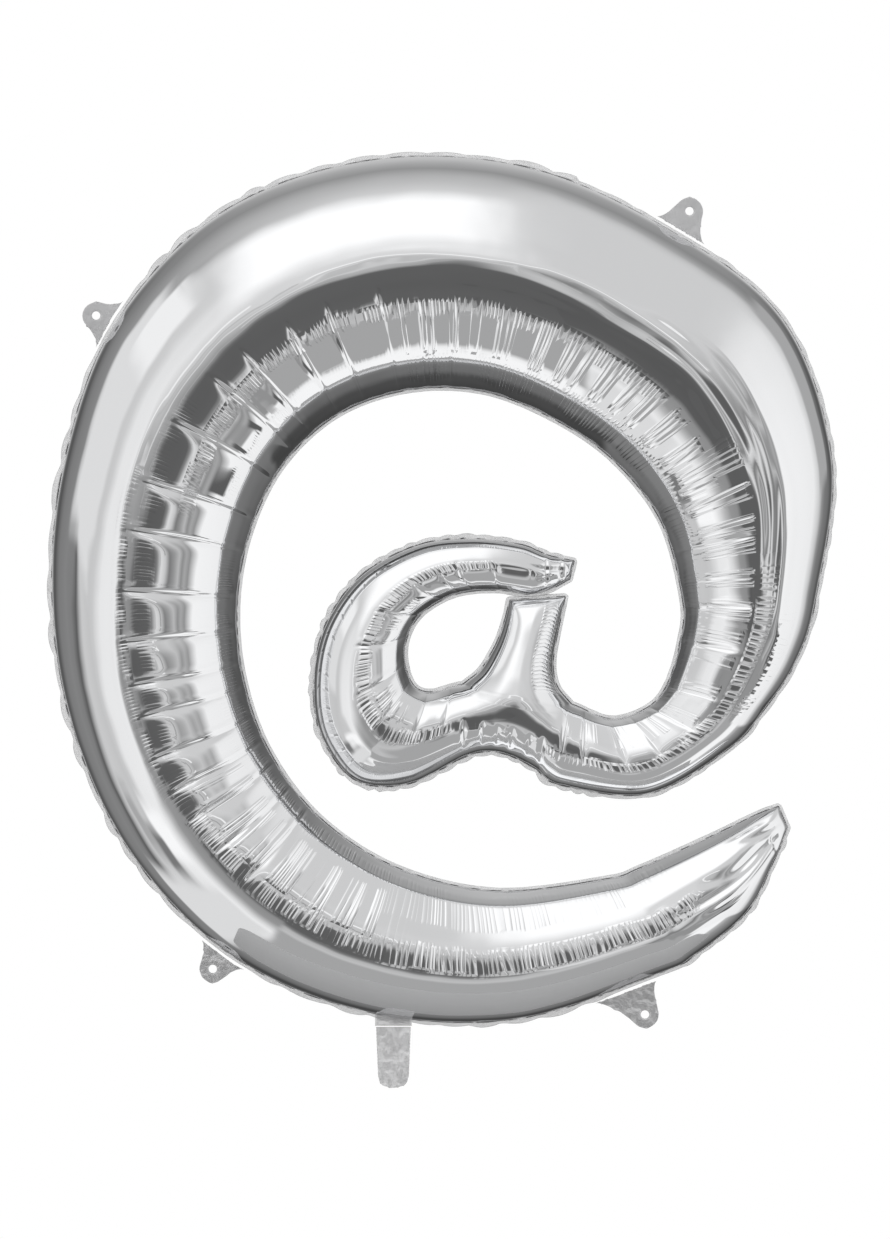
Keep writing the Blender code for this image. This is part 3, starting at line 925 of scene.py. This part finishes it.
    def crease_offset(self, run: np.ndarray) -> np.ndarray:
        """Depth of the main creases: a valley with a wide near flank and a short far flank.

        Args:
            run: length along each row.

        Returns:
            The offset of each point along its normal.
        """
        offset = np.zeros(run.shape)
        rng = np.random.default_rng(self.seed + 1)
        for crease, start, end, size in zip(self.creases, self.starts, self.ends, self.sizes):
            deep = (self.across - start - self.crease_deepest * (end - start)) / self.crease_swell_width
            swell = self.crease_swell[0] + self.crease_swell[1] * np.exp(-deep ** 2)
            share = self.letter_share if crease > self.letter_from else 1.0
            depth = self.crease_depth_mm * size * rng.uniform(*self.crease_spread) * MM * share
            width = size * rng.uniform(*self.crease_spread) * swell * share
            distance = run - self.read(run, crease)[None]
            flank = np.where(distance < 0, self.crease_left_mm, self.crease_right_mm) * MM
            valley = np.exp(-np.abs(distance / (flank * width)) ** self.crease_sharpness)
            ridge = np.exp(-((distance / MM - self.ridge_mm) / self.ridge_width_mm) ** 2)
            window = smooth_step(self.across, end + 0.02, end - 0.08)
            window = window * smooth_step(self.across, start, start + 0.06)
            offset += (self.ridge_share * ridge - valley * swell) * depth * window[None]
        return offset

    def fold_offset(self, points: np.ndarray) -> np.ndarray:
        """Height of the long soft folds.

        Args:
            points: the surface.

        Returns:
            The offset of each point along its normal.
        """
        over = lengths(points, axis=1)
        offset = np.zeros(points.shape[:2])
        for number, fold in enumerate(self.folds):
            share = (self.along - fold.first_cut) / (fold.last_cut - fold.first_cut)
            inside = (share > 0) & (share < 1)
            arch = np.sin(math.pi * np.clip(share, 0, 1))
            wave = self.fold_sway * np.sin(self.along * self.fold_sway_pace + number) * arch
            place = fold.first_across + (fold.last_across - fold.first_across) * share + wave
            centre = np.array([np.interp(p, self.across, row) for p, row in zip(place, over)])
            height = fold.height_mm * MM * arch ** self.fold_taper
            shape = np.exp(-((over - centre[:, None]) / (fold.width_mm * MM)) ** 2)
            offset[inside] += (height[:, None] * shape)[inside]
        return offset

    def pleats(self, points: np.ndarray) -> dict:
        """The fine pleats of the finish: their running count and their depth.

        Args:
            points: the surface.

        Returns:
            The two arrays, by attribute name.
        """
        rng = np.random.default_rng(self.seed + 2)
        run = lengths(points)
        row = int(np.searchsorted(self.across, 0.42))
        spacing = np.interp(self.along, *zip(*self.pleats_mm)) * MM
        count = np.concatenate([[0], np.cumsum(np.diff(run[:, row]) / spacing[1:])])
        depth = np.zeros(run.shape)
        for zone in self.zones:
            pace = 0.35 if zone.gaps else 1.0
            sway = sum(np.sin(count / (pace * rng.uniform(1.0, 4.0)) + rng.uniform(0, 6)) for _ in range(4))
            ends, sides = self.zone_ends, self.zone_sides
            along = smooth_step(self.along, zone.first_cut - ends, zone.first_cut + ends)
            along = along * smooth_step(self.along, zone.last_cut + ends, zone.last_cut - ends)
            place = self.across[None] + self.zone_sway * sway[:, None]
            window = smooth_step(place, zone.start - sides, zone.start + sides)
            window = window * smooth_step(place, zone.end + sides, zone.end - sides)
            strength = np.clip(0.8 + 0.2 * sway, 0.25, 1.4)
            if zone.gaps:
                mark = np.quantile(sway, zone.gaps)
                strength = smooth_step(sway, mark - self.zone_calm, mark + self.zone_calm)
            depth = np.maximum(depth, (along * strength)[:, None] * window * zone.depth_mm * MM)
        turned = 1.3 * np.sin(0.55 * count[:, None] + 5 * self.across[None])
        lean = 1.6 * (self.across[None] - 0.4) * np.sin(0.11 * count)[:, None]
        jitter = sum(np.sin(count / wave + 2 * wave) for wave in (0.9, 1.7, 2.9)) * 0.3
        return {"pleat_count": (count + jitter)[:, None] + 0.15 * turned + lean, "pleat_depth": depth}

    def pleats_of_stem(self, points: np.ndarray) -> dict:
        """The fine pleats down one side of the stem.

        Args:
            points: the stem's surface.

        Returns:
            The running count and the depth, by attribute name.
        """
        left, right, top, foot = self.stem_pleats
        down = lengths(points)
        share = np.linspace(0, 1, points.shape[1])[None]
        place = down / down[-1:]
        depth = smooth_step(share, left - 0.04, left) * smooth_step(share, right + 0.04, right)
        depth = depth * smooth_step(place, top - 0.05, top) * smooth_step(place, foot + 0.08, foot)
        count = down / (self.pleats_mm[-1][1] * MM) + 0.8 * np.sin(9 * share)
        return {"pleat_count": count, "pleat_depth": depth * self.stem_pleat_depth_mm * MM}

    def respaced(self, points: np.ndarray) -> np.ndarray:
        """Spread the rows evenly where the stem runs into the stroke, as there is no seam there.

        Args:
            points: the surface.

        Returns:
            The surface with even rows along the foot.
        """
        pattern = self.pattern
        last = int(np.searchsorted(self.across, self.foot_reach))
        weight = smooth_step(self.along, pattern.stem_first_cut, pattern.stem_first_cut + 0.25)
        weight = weight * smooth_step(self.along, pattern.stem_last_cut, pattern.stem_last_cut - 0.25)
        share = np.linspace(0, 1, last + 1)[None, :, None]
        even = points[:, :1] * (1 - share) + points[:, last:last + 1] * share
        result = points.copy()
        result[:, :last + 1] += (even - points[:, :last + 1]) * weight[:, None, None]
        return result

    def smooth_foot(self, bm: bmesh.types.BMesh, foot: np.ndarray) -> None:
        """Even out the film where the stem runs into the stroke.

        Args:
            bm: the joined sheet.
            foot: the placed points of the foot.
        """
        middle = Vector(foot[len(foot) // 2])
        inner = foot[6:-6]
        near = [vert for vert in bm.verts if (vert.co - middle).length < self.foot_radius
                and np.linalg.norm(inner - np.array(vert.co), axis=1).min() < self.foot_distance]
        for _ in range(self.foot_smoothing):
            bmesh.ops.smooth_vert(bm, verts=near, factor=0.5,
                                  use_axis_x=True, use_axis_y=True, use_axis_z=True)

    def stem(self, main: np.ndarray) -> np.ndarray:
        """The stem's blown surface, its last row being the stroke's own inner edge.

        Args:
            main: the stroke's surface.

        Returns:
            An array: down, along, then x, y and z.
        """
        inside = (self.along >= self.pattern.stem_first_cut) & (self.along <= self.pattern.stem_last_cut)
        foot = main[inside, 0]
        down = len(self.pattern.stem_cuts_mm) * np.linspace(0, 1, self.stem_rows + 1) ** 1.35
        flat = self.pattern.stem_flat(foot[:, [0, 2]], down)
        lift = self.pattern.stem_lift(self.along[inside], down)
        points = np.stack([flat[..., 0], lift, flat[..., 1]], axis=-1)
        points[-1] = foot
        return points

    def build(self, foil: bpy.types.Material) -> bpy.types.Object:
        """Model the sheet and dress it.

        Args:
            foil: the mirror finish.

        Returns:
            The sheet's object.
        """
        points = self.base()
        points = self.faceted(points, lengths(points))
        offset = self.crease_offset(lengths(points)) + self.fold_offset(points)
        points = self.respaced(points + self.outward(points) * offset[..., None])
        stem = self.stem(points)
        self.grids = (points, stem)
        pleats, stem_pleats = self.pleats(points), self.pleats_of_stem(stem)
        bm = bmesh.new()
        for name in pleats:
            bm.verts.layers.float.new(name)
        add_grid(bm, self.placed(points), pleats)
        turned = {name: values.T for name, values in stem_pleats.items()}
        add_grid(bm, self.placed(stem).transpose(1, 0, 2), turned)
        bmesh.ops.remove_doubles(bm, verts=bm.verts[:], dist=1e-6)
        self.smooth_foot(bm, self.placed(stem[-1:])[0])
        rim = [edge for edge in bm.edges if edge.is_boundary]
        lip = bmesh.ops.extrude_edge_only(bm, edges=rim)
        for vert in lip["geom"]:
            if isinstance(vert, bmesh.types.BMVert):
                vert.co.y = self.side.value * self.seam_gap
        crown = max(bm.faces, key=lambda face: abs(face.calc_center_median().y))
        if crown.normal.y * self.side.value < 0:
            bmesh.ops.reverse_faces(bm, faces=bm.faces[:])
        thing = finish_piece(self.name, bm, foil)
        dress(thing, "balloon", self.node)
        return thing

    def placed(self, grid: np.ndarray) -> np.ndarray:
        """Place a grid in the shared frame, with y outwards on this sheet's side.

        Args:
            grid: the grid, with its height over the seam as y.

        Returns:
            The placed grid.
        """
        moved = grid.copy()
        moved[..., 1] = self.side.value * (self.seam_gap + self.seam_lip + grid[..., 1])
        return moved


@dataclass(frozen=True)
class Scallops:
    """Bulges of the edge's outline between two cuts: their lengths and heights."""

    first_cut: float
    last_cut: float
    short_mm: float
    long_mm: float
    low_mm: float
    high_mm: float


@dataclass
class SealedEdge:
    """The flat edge where the two sheets are welded, cockled and scalloped along its outside."""

    film: BlownFilm
    inside_mm: float = 3.0
    outside_mm: float = 3.1
    thickness: float = 0.0005
    rows: tuple = (-1.0, 0.0, 0.2, 0.4, 0.7, 0.88, 1.0)
    seed: int = 5
    scallops: tuple = (
        Scallops(0.3, 3.6, 10, 22, 0.5, 2.0), Scallops(4.5, 15.5, 22, 42, 0.8, 3.4),
        Scallops(15.5, 23.5, 14, 34, 0.3, 1.6), Scallops(23.5, 38.6, 9, 18, 1.0, 2.6))
    still_near_tab: float = 0.03
    wave_mm: float = 0.8
    waves: int = 10
    wave_lengths: tuple = (0.016, 0.05)
    apart: float = 0.03
    gap_share: float = 0.52

    def path(self) -> tuple[np.ndarray, np.ndarray]:
        """The seam once round the chamber, and the place along the stroke of its outer part.

        Returns:
            Points in x and z, and for each its cut on the outer seam, or -1 elsewhere.
        """
        main, stem = self.film.grids
        first = int(np.searchsorted(self.film.along, self.film.pattern.stem_first_cut - 1e-9))
        last = int(np.searchsorted(self.film.along, self.film.pattern.stem_last_cut - 1e-9))
        parts = [main[:first, 0], stem[::-1, 0][:-1], stem[0, :-1], stem[:-1, -1], main[last:, 0],
                 main[-1, 1:-1], main[::-1, -1], main[0, 1:-1][::-1]]
        path = np.concatenate(parts)[:, [0, 2]]
        cut = np.full(len(path), -1.0)
        start = sum(len(part) for part in parts[:6])
        cut[start:start + len(self.film.along)] = self.film.along[::-1]
        return path, cut

    def bumps(self, path: np.ndarray, cut: np.ndarray) -> np.ndarray:
        """How far each point of the outer edge bulges past the plain strip.

        Args:
            path: the seam.
            cut: place along the stroke on the outer seam.

        Returns:
            The bulge at each point, in metres.
        """
        rng = np.random.default_rng(self.seed)
        run = lengths(path)
        bulge = np.zeros(len(path))
        for row in self.scallops:
            inside = np.where((cut > row.first_cut) & (cut < row.last_cut))[0]
            place, end = run[inside].min(), run[inside].max()
            while place < end:
                length = rng.uniform(row.short_mm, row.long_mm) * MM
                share = (run - place) / length
                height = rng.uniform(row.low_mm, row.high_mm) * MM
                near = (share > 0) & (share < 1) & (cut > 0)
                bulge[near] = height * np.sin(math.pi * share[near]) ** 0.75
                place += length * rng.uniform(1.0, 1.25)
        for x, z in TAB_HOLES:
            away = np.linalg.norm(path - (x, z), axis=1)
            bulge *= smooth_step(away, self.still_near_tab, 2 * self.still_near_tab)
        return bulge

    def widths(self, path: np.ndarray) -> np.ndarray:
        """Width of the strip, narrower where two stretches of the seam lie close together.

        Args:
            path: the seam.

        Returns:
            The width at each point, in metres.
        """
        run = lengths(path)
        width = np.full(len(path), self.outside_mm * MM)
        for index, (point, here) in enumerate(zip(path, run)):
            apart = np.abs(run - here)
            far = np.minimum(apart, run[-1] - apart) > self.apart
            gap = np.linalg.norm(path[far] - point, axis=1).min()
            width[index] = min(width[index], self.gap_share * gap)
        return width

    def cockle(self, path: np.ndarray) -> np.ndarray:
        """Swing of the outer edge in front of and behind the seam plane.

        Args:
            path: the seam.

        Returns:
            The swing at each point, in metres.
        """
        rng = np.random.default_rng(self.seed + 1)
        run = lengths(path)
        wave = np.zeros(len(path))
        for _ in range(self.waves):
            length = rng.uniform(*self.wave_lengths)
            wave += np.sin(2 * math.pi * (run / length + rng.uniform())) / math.sqrt(self.waves)
        return self.wave_mm * MM * wave

    def build(self, finish: bpy.types.Material) -> bpy.types.Object:
        """Model the strip round the whole chamber and dress it.

        Args:
            finish: the finish of the welded film.

        Returns:
            The strip's object.
        """
        path, cut = self.path()
        side = -sideways(path)
        reach = self.widths(path) + self.bumps(path, cut)
        cockle = self.cockle(path)
        columns = []
        for row in self.rows:
            out = np.full(len(path), row * self.inside_mm * MM) if row < 0 else row * reach
            flat = path + side * out[:, None]
            columns.append(np.stack([flat[:, 0], cockle * max(row, 0) ** 1.3, flat[:, 1]], axis=-1))
        strip = np.stack(columns, axis=1)
        strip = np.concatenate([strip, strip[:1]])
        share = np.broadcast_to(np.array(self.rows), strip.shape[:2])
        bm = bmesh.new()
        bm.verts.layers.float.new("edge_share")
        add_grid(bm, strip, {"edge_share": share})
        bmesh.ops.remove_doubles(bm, verts=bm.verts[:], dist=1e-6)
        thing = finish_piece("sealed_edge_film", bm, finish)
        thicken(thing, self.thickness)
        dress(thing, "balloon", "edge_seal")
        return thing


@dataclass
class FilmPlate:
    """A flat piece of film with the outline of its solid: a hanging tab or part of the tail."""

    name: str
    node: str
    body: str
    slot: str
    wrinkle_mm: float
    wrinkle_size: float
    edge_mm: float = 2.4
    thickness: float = 0.0003
    rounding: int = 6
    still_above: float = 1.0
    still_span: float = 0.006
    reach_down_mm: float = 0.0
    rim_band: float = 0.0002
    hole_rim: float = 0.006
    cuts: int = 7
    seed: float = 0.0

    def sheet(self) -> bmesh.types.BMesh:
        """The middle sheet of the solid, cut into small even faces.

        Returns:
            The sheet, flat, with softened corners.
        """
        bm = bmesh.new()
        bm.from_mesh(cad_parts[self.node].data)
        bmesh.ops.remove_doubles(bm, verts=bm.verts[:], dist=1e-5)
        bm.normal_update()
        rest = [face for face in bm.faces if face.normal.y > -0.5]
        bmesh.ops.delete(bm, geom=rest, context="FACES")
        for _ in range(self.cuts):
            long = [edge for edge in bm.edges if edge.calc_length() > self.edge_mm * MM]
            bmesh.ops.subdivide_edges(bm, edges=long, cuts=1)
            bmesh.ops.triangulate(bm, faces=bm.faces[:])
            bmesh.ops.beautify_fill(bm, faces=bm.faces[:], edges=bm.edges[:])
        holes = [Vector((x, z)) for x, z in TAB_HOLES]
        rim = [vert for vert in bm.verts
               if vert.is_boundary and min((vert.co.xz - hole).length for hole in holes) > self.hole_rim]
        for _ in range(self.rounding):
            bmesh.ops.smooth_vert(bm, verts=rim, factor=0.3, use_axis_x=True, use_axis_z=True)
        return bm

    def build(self, finish: bpy.types.Material) -> bpy.types.Object:
        """Model the plate, crinkle it and dress it.

        Args:
            finish: its film.

        Returns:
            The plate's object.
        """
        low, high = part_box(self.node)
        bm = self.sheet()
        middle = 0.5 * (low.y + high.y)
        for vert in bm.verts:
            if vert.co.z < low.z + self.rim_band:
                vert.co.z -= self.reach_down_mm * MM
            place = Vector((vert.co.x, self.seed, vert.co.z)) / self.wrinkle_size
            swing = noise.ridged_multi_fractal(place, 1.0, 2.0, 3, 1.0, 2.0) - 1.2
            held = smooth_step(vert.co.z, self.still_above, self.still_above - self.still_span)
            vert.co.y = middle + swing * self.wrinkle_mm * MM * held
        thing = finish_piece(self.name, bm, finish)
        thicken(thing, self.thickness)
        dress(thing, self.body, self.node)
        return thing


def thicken(thing: bpy.types.Object, thickness: float) -> None:
    """Give a sheet its thickness with a live Solidify modifier.

    Args:
        thing: the sheet.
        thickness: its thickness in metres.
    """
    wall = thing.modifiers.new("film", "SOLIDIFY")
    wall.thickness = thickness
    wall.offset = 0
    wall.use_even_offset = False


def add_grid(bm: bmesh.types.BMesh, points: np.ndarray, numbers: dict) -> None:
    """Add a grid of faces whose points lie where the array says.

    Args:
        bm: the mesh to add to.
        points: an array: column, row, then x, y and z.
        numbers: further arrays by column and row, stored on the points under their names.
    """
    columns, rows = points.shape[0] - 1, points.shape[1] - 1
    made = bmesh.ops.create_grid(bm, x_segments=columns, y_segments=rows, size=0.5)["verts"]
    for vert, place in zip(made, points.transpose(1, 0, 2).reshape(-1, 3)):
        vert.co = place
    for name, values in numbers.items():
        layer = bm.verts.layers.float[name]
        for vert, value in zip(made, values.T.reshape(-1)):
            vert[layer] = value


def finish_piece(name: str, bm: bmesh.types.BMesh, material: bpy.types.Material) -> bpy.types.Object:
    """Turn a bmesh into a smooth-shaded object.

    Args:
        name: the object's name.
        bm: its mesh, freed afterwards.
        material: its finish.

    Returns:
        The object, linked to the scene.
    """
    mesh = bpy.data.meshes.new(name)
    bm.to_mesh(mesh)
    bm.free()
    mesh.shade_smooth()
    mesh.materials.append(material)
    thing = bpy.data.objects.new(name, mesh)
    bpy.context.scene.collection.objects.link(thing)
    return thing


def dress(thing: bpy.types.Object, body: str, node: str) -> None:
    """Make a piece ride on its body and stand for its node, and report it.

    Args:
        thing: the piece.
        body: the body that it moves with.
        node: the solid that it stands for.
    """
    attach(thing, body)
    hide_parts(node)
    thing.data.calc_loop_triangles()
    log.info("%s: %d triangles on body %s", thing.name, len(thing.data.loop_triangles), body)


@dataclass(frozen=True)
class Softbox:
    """A lit or shaded patch of the studio, by its azimuth and its angle from the view axis, in degrees."""

    azimuth: float
    spread: float
    near: float
    far: float
    tone: float
    soft: float = 3.0


@dataclass
class Studio:
    """Studio: the walls that the film mirrors, a small grey floor and the camera.

    Each wall is a row of stops: an angle from the tilted view axis and the light that comes from it.
    """

    camera_distance: float = 5.0
    frame_height: float = 1.1151
    centre_z: float = -0.01755
    sensor_mm: float = 36.0
    floor_z: float = -0.62
    floor_size: tuple = (0.46, 0.18)
    floor_place: tuple = (0.045, -0.06)
    floor_corner: float = 0.08
    floor_tone: float = 0.59
    floor_grain: float = 0.03
    # how fast the painted shade darkens the floor toward the back, per metre
    floor_painted_shade: float = 0.35
    tilt_deg: float = 10.5
    wall_blur: float = 0.03
    floor_slopes: tuple = (0.63, 1.05)
    ceiling: tuple = (
        (0, .11), (12, .12), (17, .42), (21, .56), (26, .74), (30, .72), (36, .76), (42, .72), (74, .70),
        (80, .70), (86, .68), (100, .55), (116, .40), (126, .31), (137, .4), (153, .52), (180, .6))
    floor: tuple = (
        (0, .11), (12, .12), (15, .2), (18, .48), (23, .55), (27, .39), (53, .39), (57, .9), (60, .98),
        (76, .98), (82, .5), (94, .3), (112, .19), (120, .15), (128, .075), (134, .055), (150, .1),
        (162, .55), (180, .65))
    right: tuple = (
        (0, .11), (10, .12), (13, .25), (17, .75), (21, .6), (25, .2), (29, .32), (33, .5), (37, .28),
        (41, .4), (45, .3), (49, .65), (52, .95), (93, .88), (104, .6), (112, .3), (120, .2), (132, .16),
        (143, .09), (150, .12), (162, .6), (180, .65))
    left: tuple = (
        (0, .1), (10, .11), (14, .28), (21, .32), (26, .5), (31, .72), (36, .88), (47, .85), (54, .62),
        (60, .58), (76, .62), (79, .6), (85, .42), (91, .11), (97, .22), (106, .24), (124, .21), (130, .17),
        (142, .09), (150, .12), (162, .6), (180, .65))
    softboxes: tuple = (
        Softbox(102, 23, 37, 82, 1.08, 7), Softbox(59, 16, 32, 104, 0.64, 9),
        Softbox(-131, 8, 38, 108, 0.75), Softbox(-150, 6, 38, 58, 1.0), Softbox(-150, 6, 68, 78, 0.41),
        Softbox(-145, 5, 56, 68, 0.2), Softbox(158, 18, 60, 106, 0.76), Softbox(142, 7, 60, 92, 0.92),
        Softbox(18, 22, 104, 128, 0.4), Softbox(75, 32, 25, 26.3, 1.0, 0.7),
        Softbox(100, 24, 18.6, 19.5, 0.62, 0.5),
        Softbox(126, 28, 21.6, 22.4, 0.72, 0.5), Softbox(118, 34, 15.2, 15.9, 0.4, 0.4),
        Softbox(134, 24, 25.0, 25.8, 0.5, 0.5), Softbox(142, 22, 28.4, 29.6, 0.95, 0.6),
        Softbox(40, 30, 15.5, 16.3, 0.5, 0.5), Softbox(36, 24, 20.4, 21.2, 0.3, 0.5),
        Softbox(-27, 5.5, 44, 60, 0.11, 2), Softbox(-38, 5, 26, 50, 0.3, 2))

    def wall(self, s: Shading, turn: Value, stops: tuple) -> Value:
        """Light of one wall at an angle from the view axis, as a share of half a turn.

        Args:
            s: the world's shading.
            turn: the angle's share.
            stops: the wall's stops, in degrees.

        Returns:
            The light.
        """
        scaled = tuple((angle / 180, grey) for angle, grey in stops)
        return s.value(s.node("ShaderNodeValToRGB", {"stops": scaled}, {"Fac": turn}), "Color")

    def build_world(self) -> None:
        """The studio's walls, as light that comes from each direction."""
        world = bpy.data.worlds.new("studio")
        bpy.context.scene.world = world
        world.use_nodes = True
        s = Shading(world.node_tree)
        place = s.node("ShaderNodeTexCoord").outputs["Generated"]
        tilted = s.node("ShaderNodeVectorRotate", {"rotation_type": "X_AXIS"},
                        {"Vector": place, "Angle": math.radians(-self.tilt_deg)})
        split = s.node("ShaderNodeSeparateXYZ", {}, {"Vector": tilted.outputs["Vector"]})
        x, y, z = (s.value(split, axis) for axis in range(3))
        turn = s.math("ARCCOSINE", y * -1.0) / math.pi
        reach = s.math("SQRT", x * x + z * z).atleast(0.0001)
        up = z.atleast(0.0) ** 2 / (reach * reach)
        slope_left, slope_right = self.floor_slopes
        down = ((z * -slope_left + x) / reach).rise(-self.wall_blur, self.wall_blur)
        down = down * ((z * -slope_right - x) / reach).rise(-self.wall_blur, self.wall_blur)
        aside = (1.0 - up) * (1.0 - down)
        east = (x / reach).rise(-0.02, 0.02)
        light = self.wall(s, turn, self.ceiling) * up + self.wall(s, turn, self.floor) * down
        light = light + self.wall(s, turn, self.left).toward(self.wall(s, turn, self.right), east) * aside
        azimuth = s.math("ARCTAN2", z, x) * (180 / math.pi)
        angle = turn * 180.0
        for box in self.softboxes:
            away = abs(azimuth - box.azimuth)
            mask = away.rise(box.spread + box.soft, box.spread - box.soft)
            mask = mask * angle.rise(box.near - box.soft, box.near + box.soft)
            mask = mask * angle.rise(box.far + box.soft, box.far - box.soft)
            light = light.toward(box.tone, mask)
        seen = s.value(s.node("ShaderNodeLightPath"), "Is Camera Ray")
        back = s.node("ShaderNodeBackground", {},
                      {"Color": (1.0, 1.0, 1.0, 1.0), "Strength": light.toward(1.0, seen)})
        s.node("ShaderNodeOutputWorld", {}, {"Surface": back.outputs["Background"]})

    def build_floor(self) -> None:
        """A small light grey floor with round corners under the balloon, with painted shade that darkens it
        toward the back.
        """
        bm = bmesh.new()
        bmesh.ops.create_grid(bm, x_segments=1, y_segments=1, size=1.0)
        bmesh.ops.scale(bm, verts=bm.verts[:], vec=(*self.floor_size, 1.0))
        bmesh.ops.bevel(bm, geom=bm.verts[:], affect="VERTICES", offset=self.floor_corner, segments=8,
                        profile=0.5, material=-1)
        bmesh.ops.translate(bm, verts=bm.verts[:], vec=(*self.floor_place, self.floor_z))
        material, s = new_material("pale_floor")
        place = s.place()
        depth = s.value(s.node("ShaderNodeSeparateXYZ", {}, {"Vector": place}), "Y")
        # painted shade: the floor gets darker toward the back
        tone = s.noise(place, 30.0) * self.floor_grain + self.floor_tone - depth * self.floor_painted_shade
        s.surface(Base_Color=s.grey(tone), Roughness=0.8)
        finish_piece("pale_floor", bm, material)

    def build_camera(self) -> None:
        """The camera, straight in front of the balloon."""
        data = bpy.data.cameras.new("camera")
        data.sensor_width = self.sensor_mm
        data.lens = self.sensor_mm * self.camera_distance / self.frame_height
        camera = bpy.data.objects.new("camera", data)
        camera.location = (0, -self.camera_distance, self.centre_z)
        camera.rotation_euler = (math.pi / 2, 0, 0)
        bpy.context.scene.collection.objects.link(camera)
        bpy.context.scene.camera = camera

    def build(self) -> None:
        """Build the whole studio."""
        self.build_world()
        self.build_floor()
        self.build_camera()
        bpy.context.scene.view_settings.view_transform = "Standard"
        log.info("studio: four walls, %d softboxes, floor and camera", len(self.softboxes))


def main() -> None:
    """Build every piece in order."""
    logging.basicConfig(level=logging.INFO, format="%(name)s: %(message)s")
    Studio().build()
    pattern = StrokePattern()
    foil = MirrorFoil().material()
    front = BlownFilm(Side.FRONT, pattern, "front_blown_film", "front_sheet", seed=11)
    front.build(foil)
    BlownFilm(Side.BACK, pattern, "back_blown_film", "back_sheet", seed=23).build(foil)
    SealedEdge(front).build(SealedFilm().material())
    calm = ThinFilm("tab_film_calm", 0.80, 0.85, 0.25, 0.0002, 40.0, 0.4).material()
    creased = ThinFilm("tab_film_creased", 0.75, 0.72, 0.5, 0.0022, 45.0, 0.16).material()
    limp = ThinFilm("tail_film", 0.88, 0.56, 0.45, 0.0034, 26.0, 0.12).material()
    for place, finish, wrinkle in (("upper_left", calm, 0.3), ("upper_right", calm, 0.3),
                                   ("lower_left", creased, 0.8), ("lower_right", creased, 0.8)):
        FilmPlate(f"{place}_tab_film", f"tab_{place}", "balloon", "tab_film", wrinkle, 0.016).build(finish)
    FilmPlate("tail_root_film", "tail_root", "balloon", "tail_film", 0.5, 0.012, rounding=0,
              reach_down_mm=0.9).build(limp)
    FilmPlate("filling_tail_film", "filling_tail", "tail", "tail_film", 0.9, 0.014,
              still_above=-0.384).build(limp)
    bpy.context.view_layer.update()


if __name__ == "__main__":
    main()
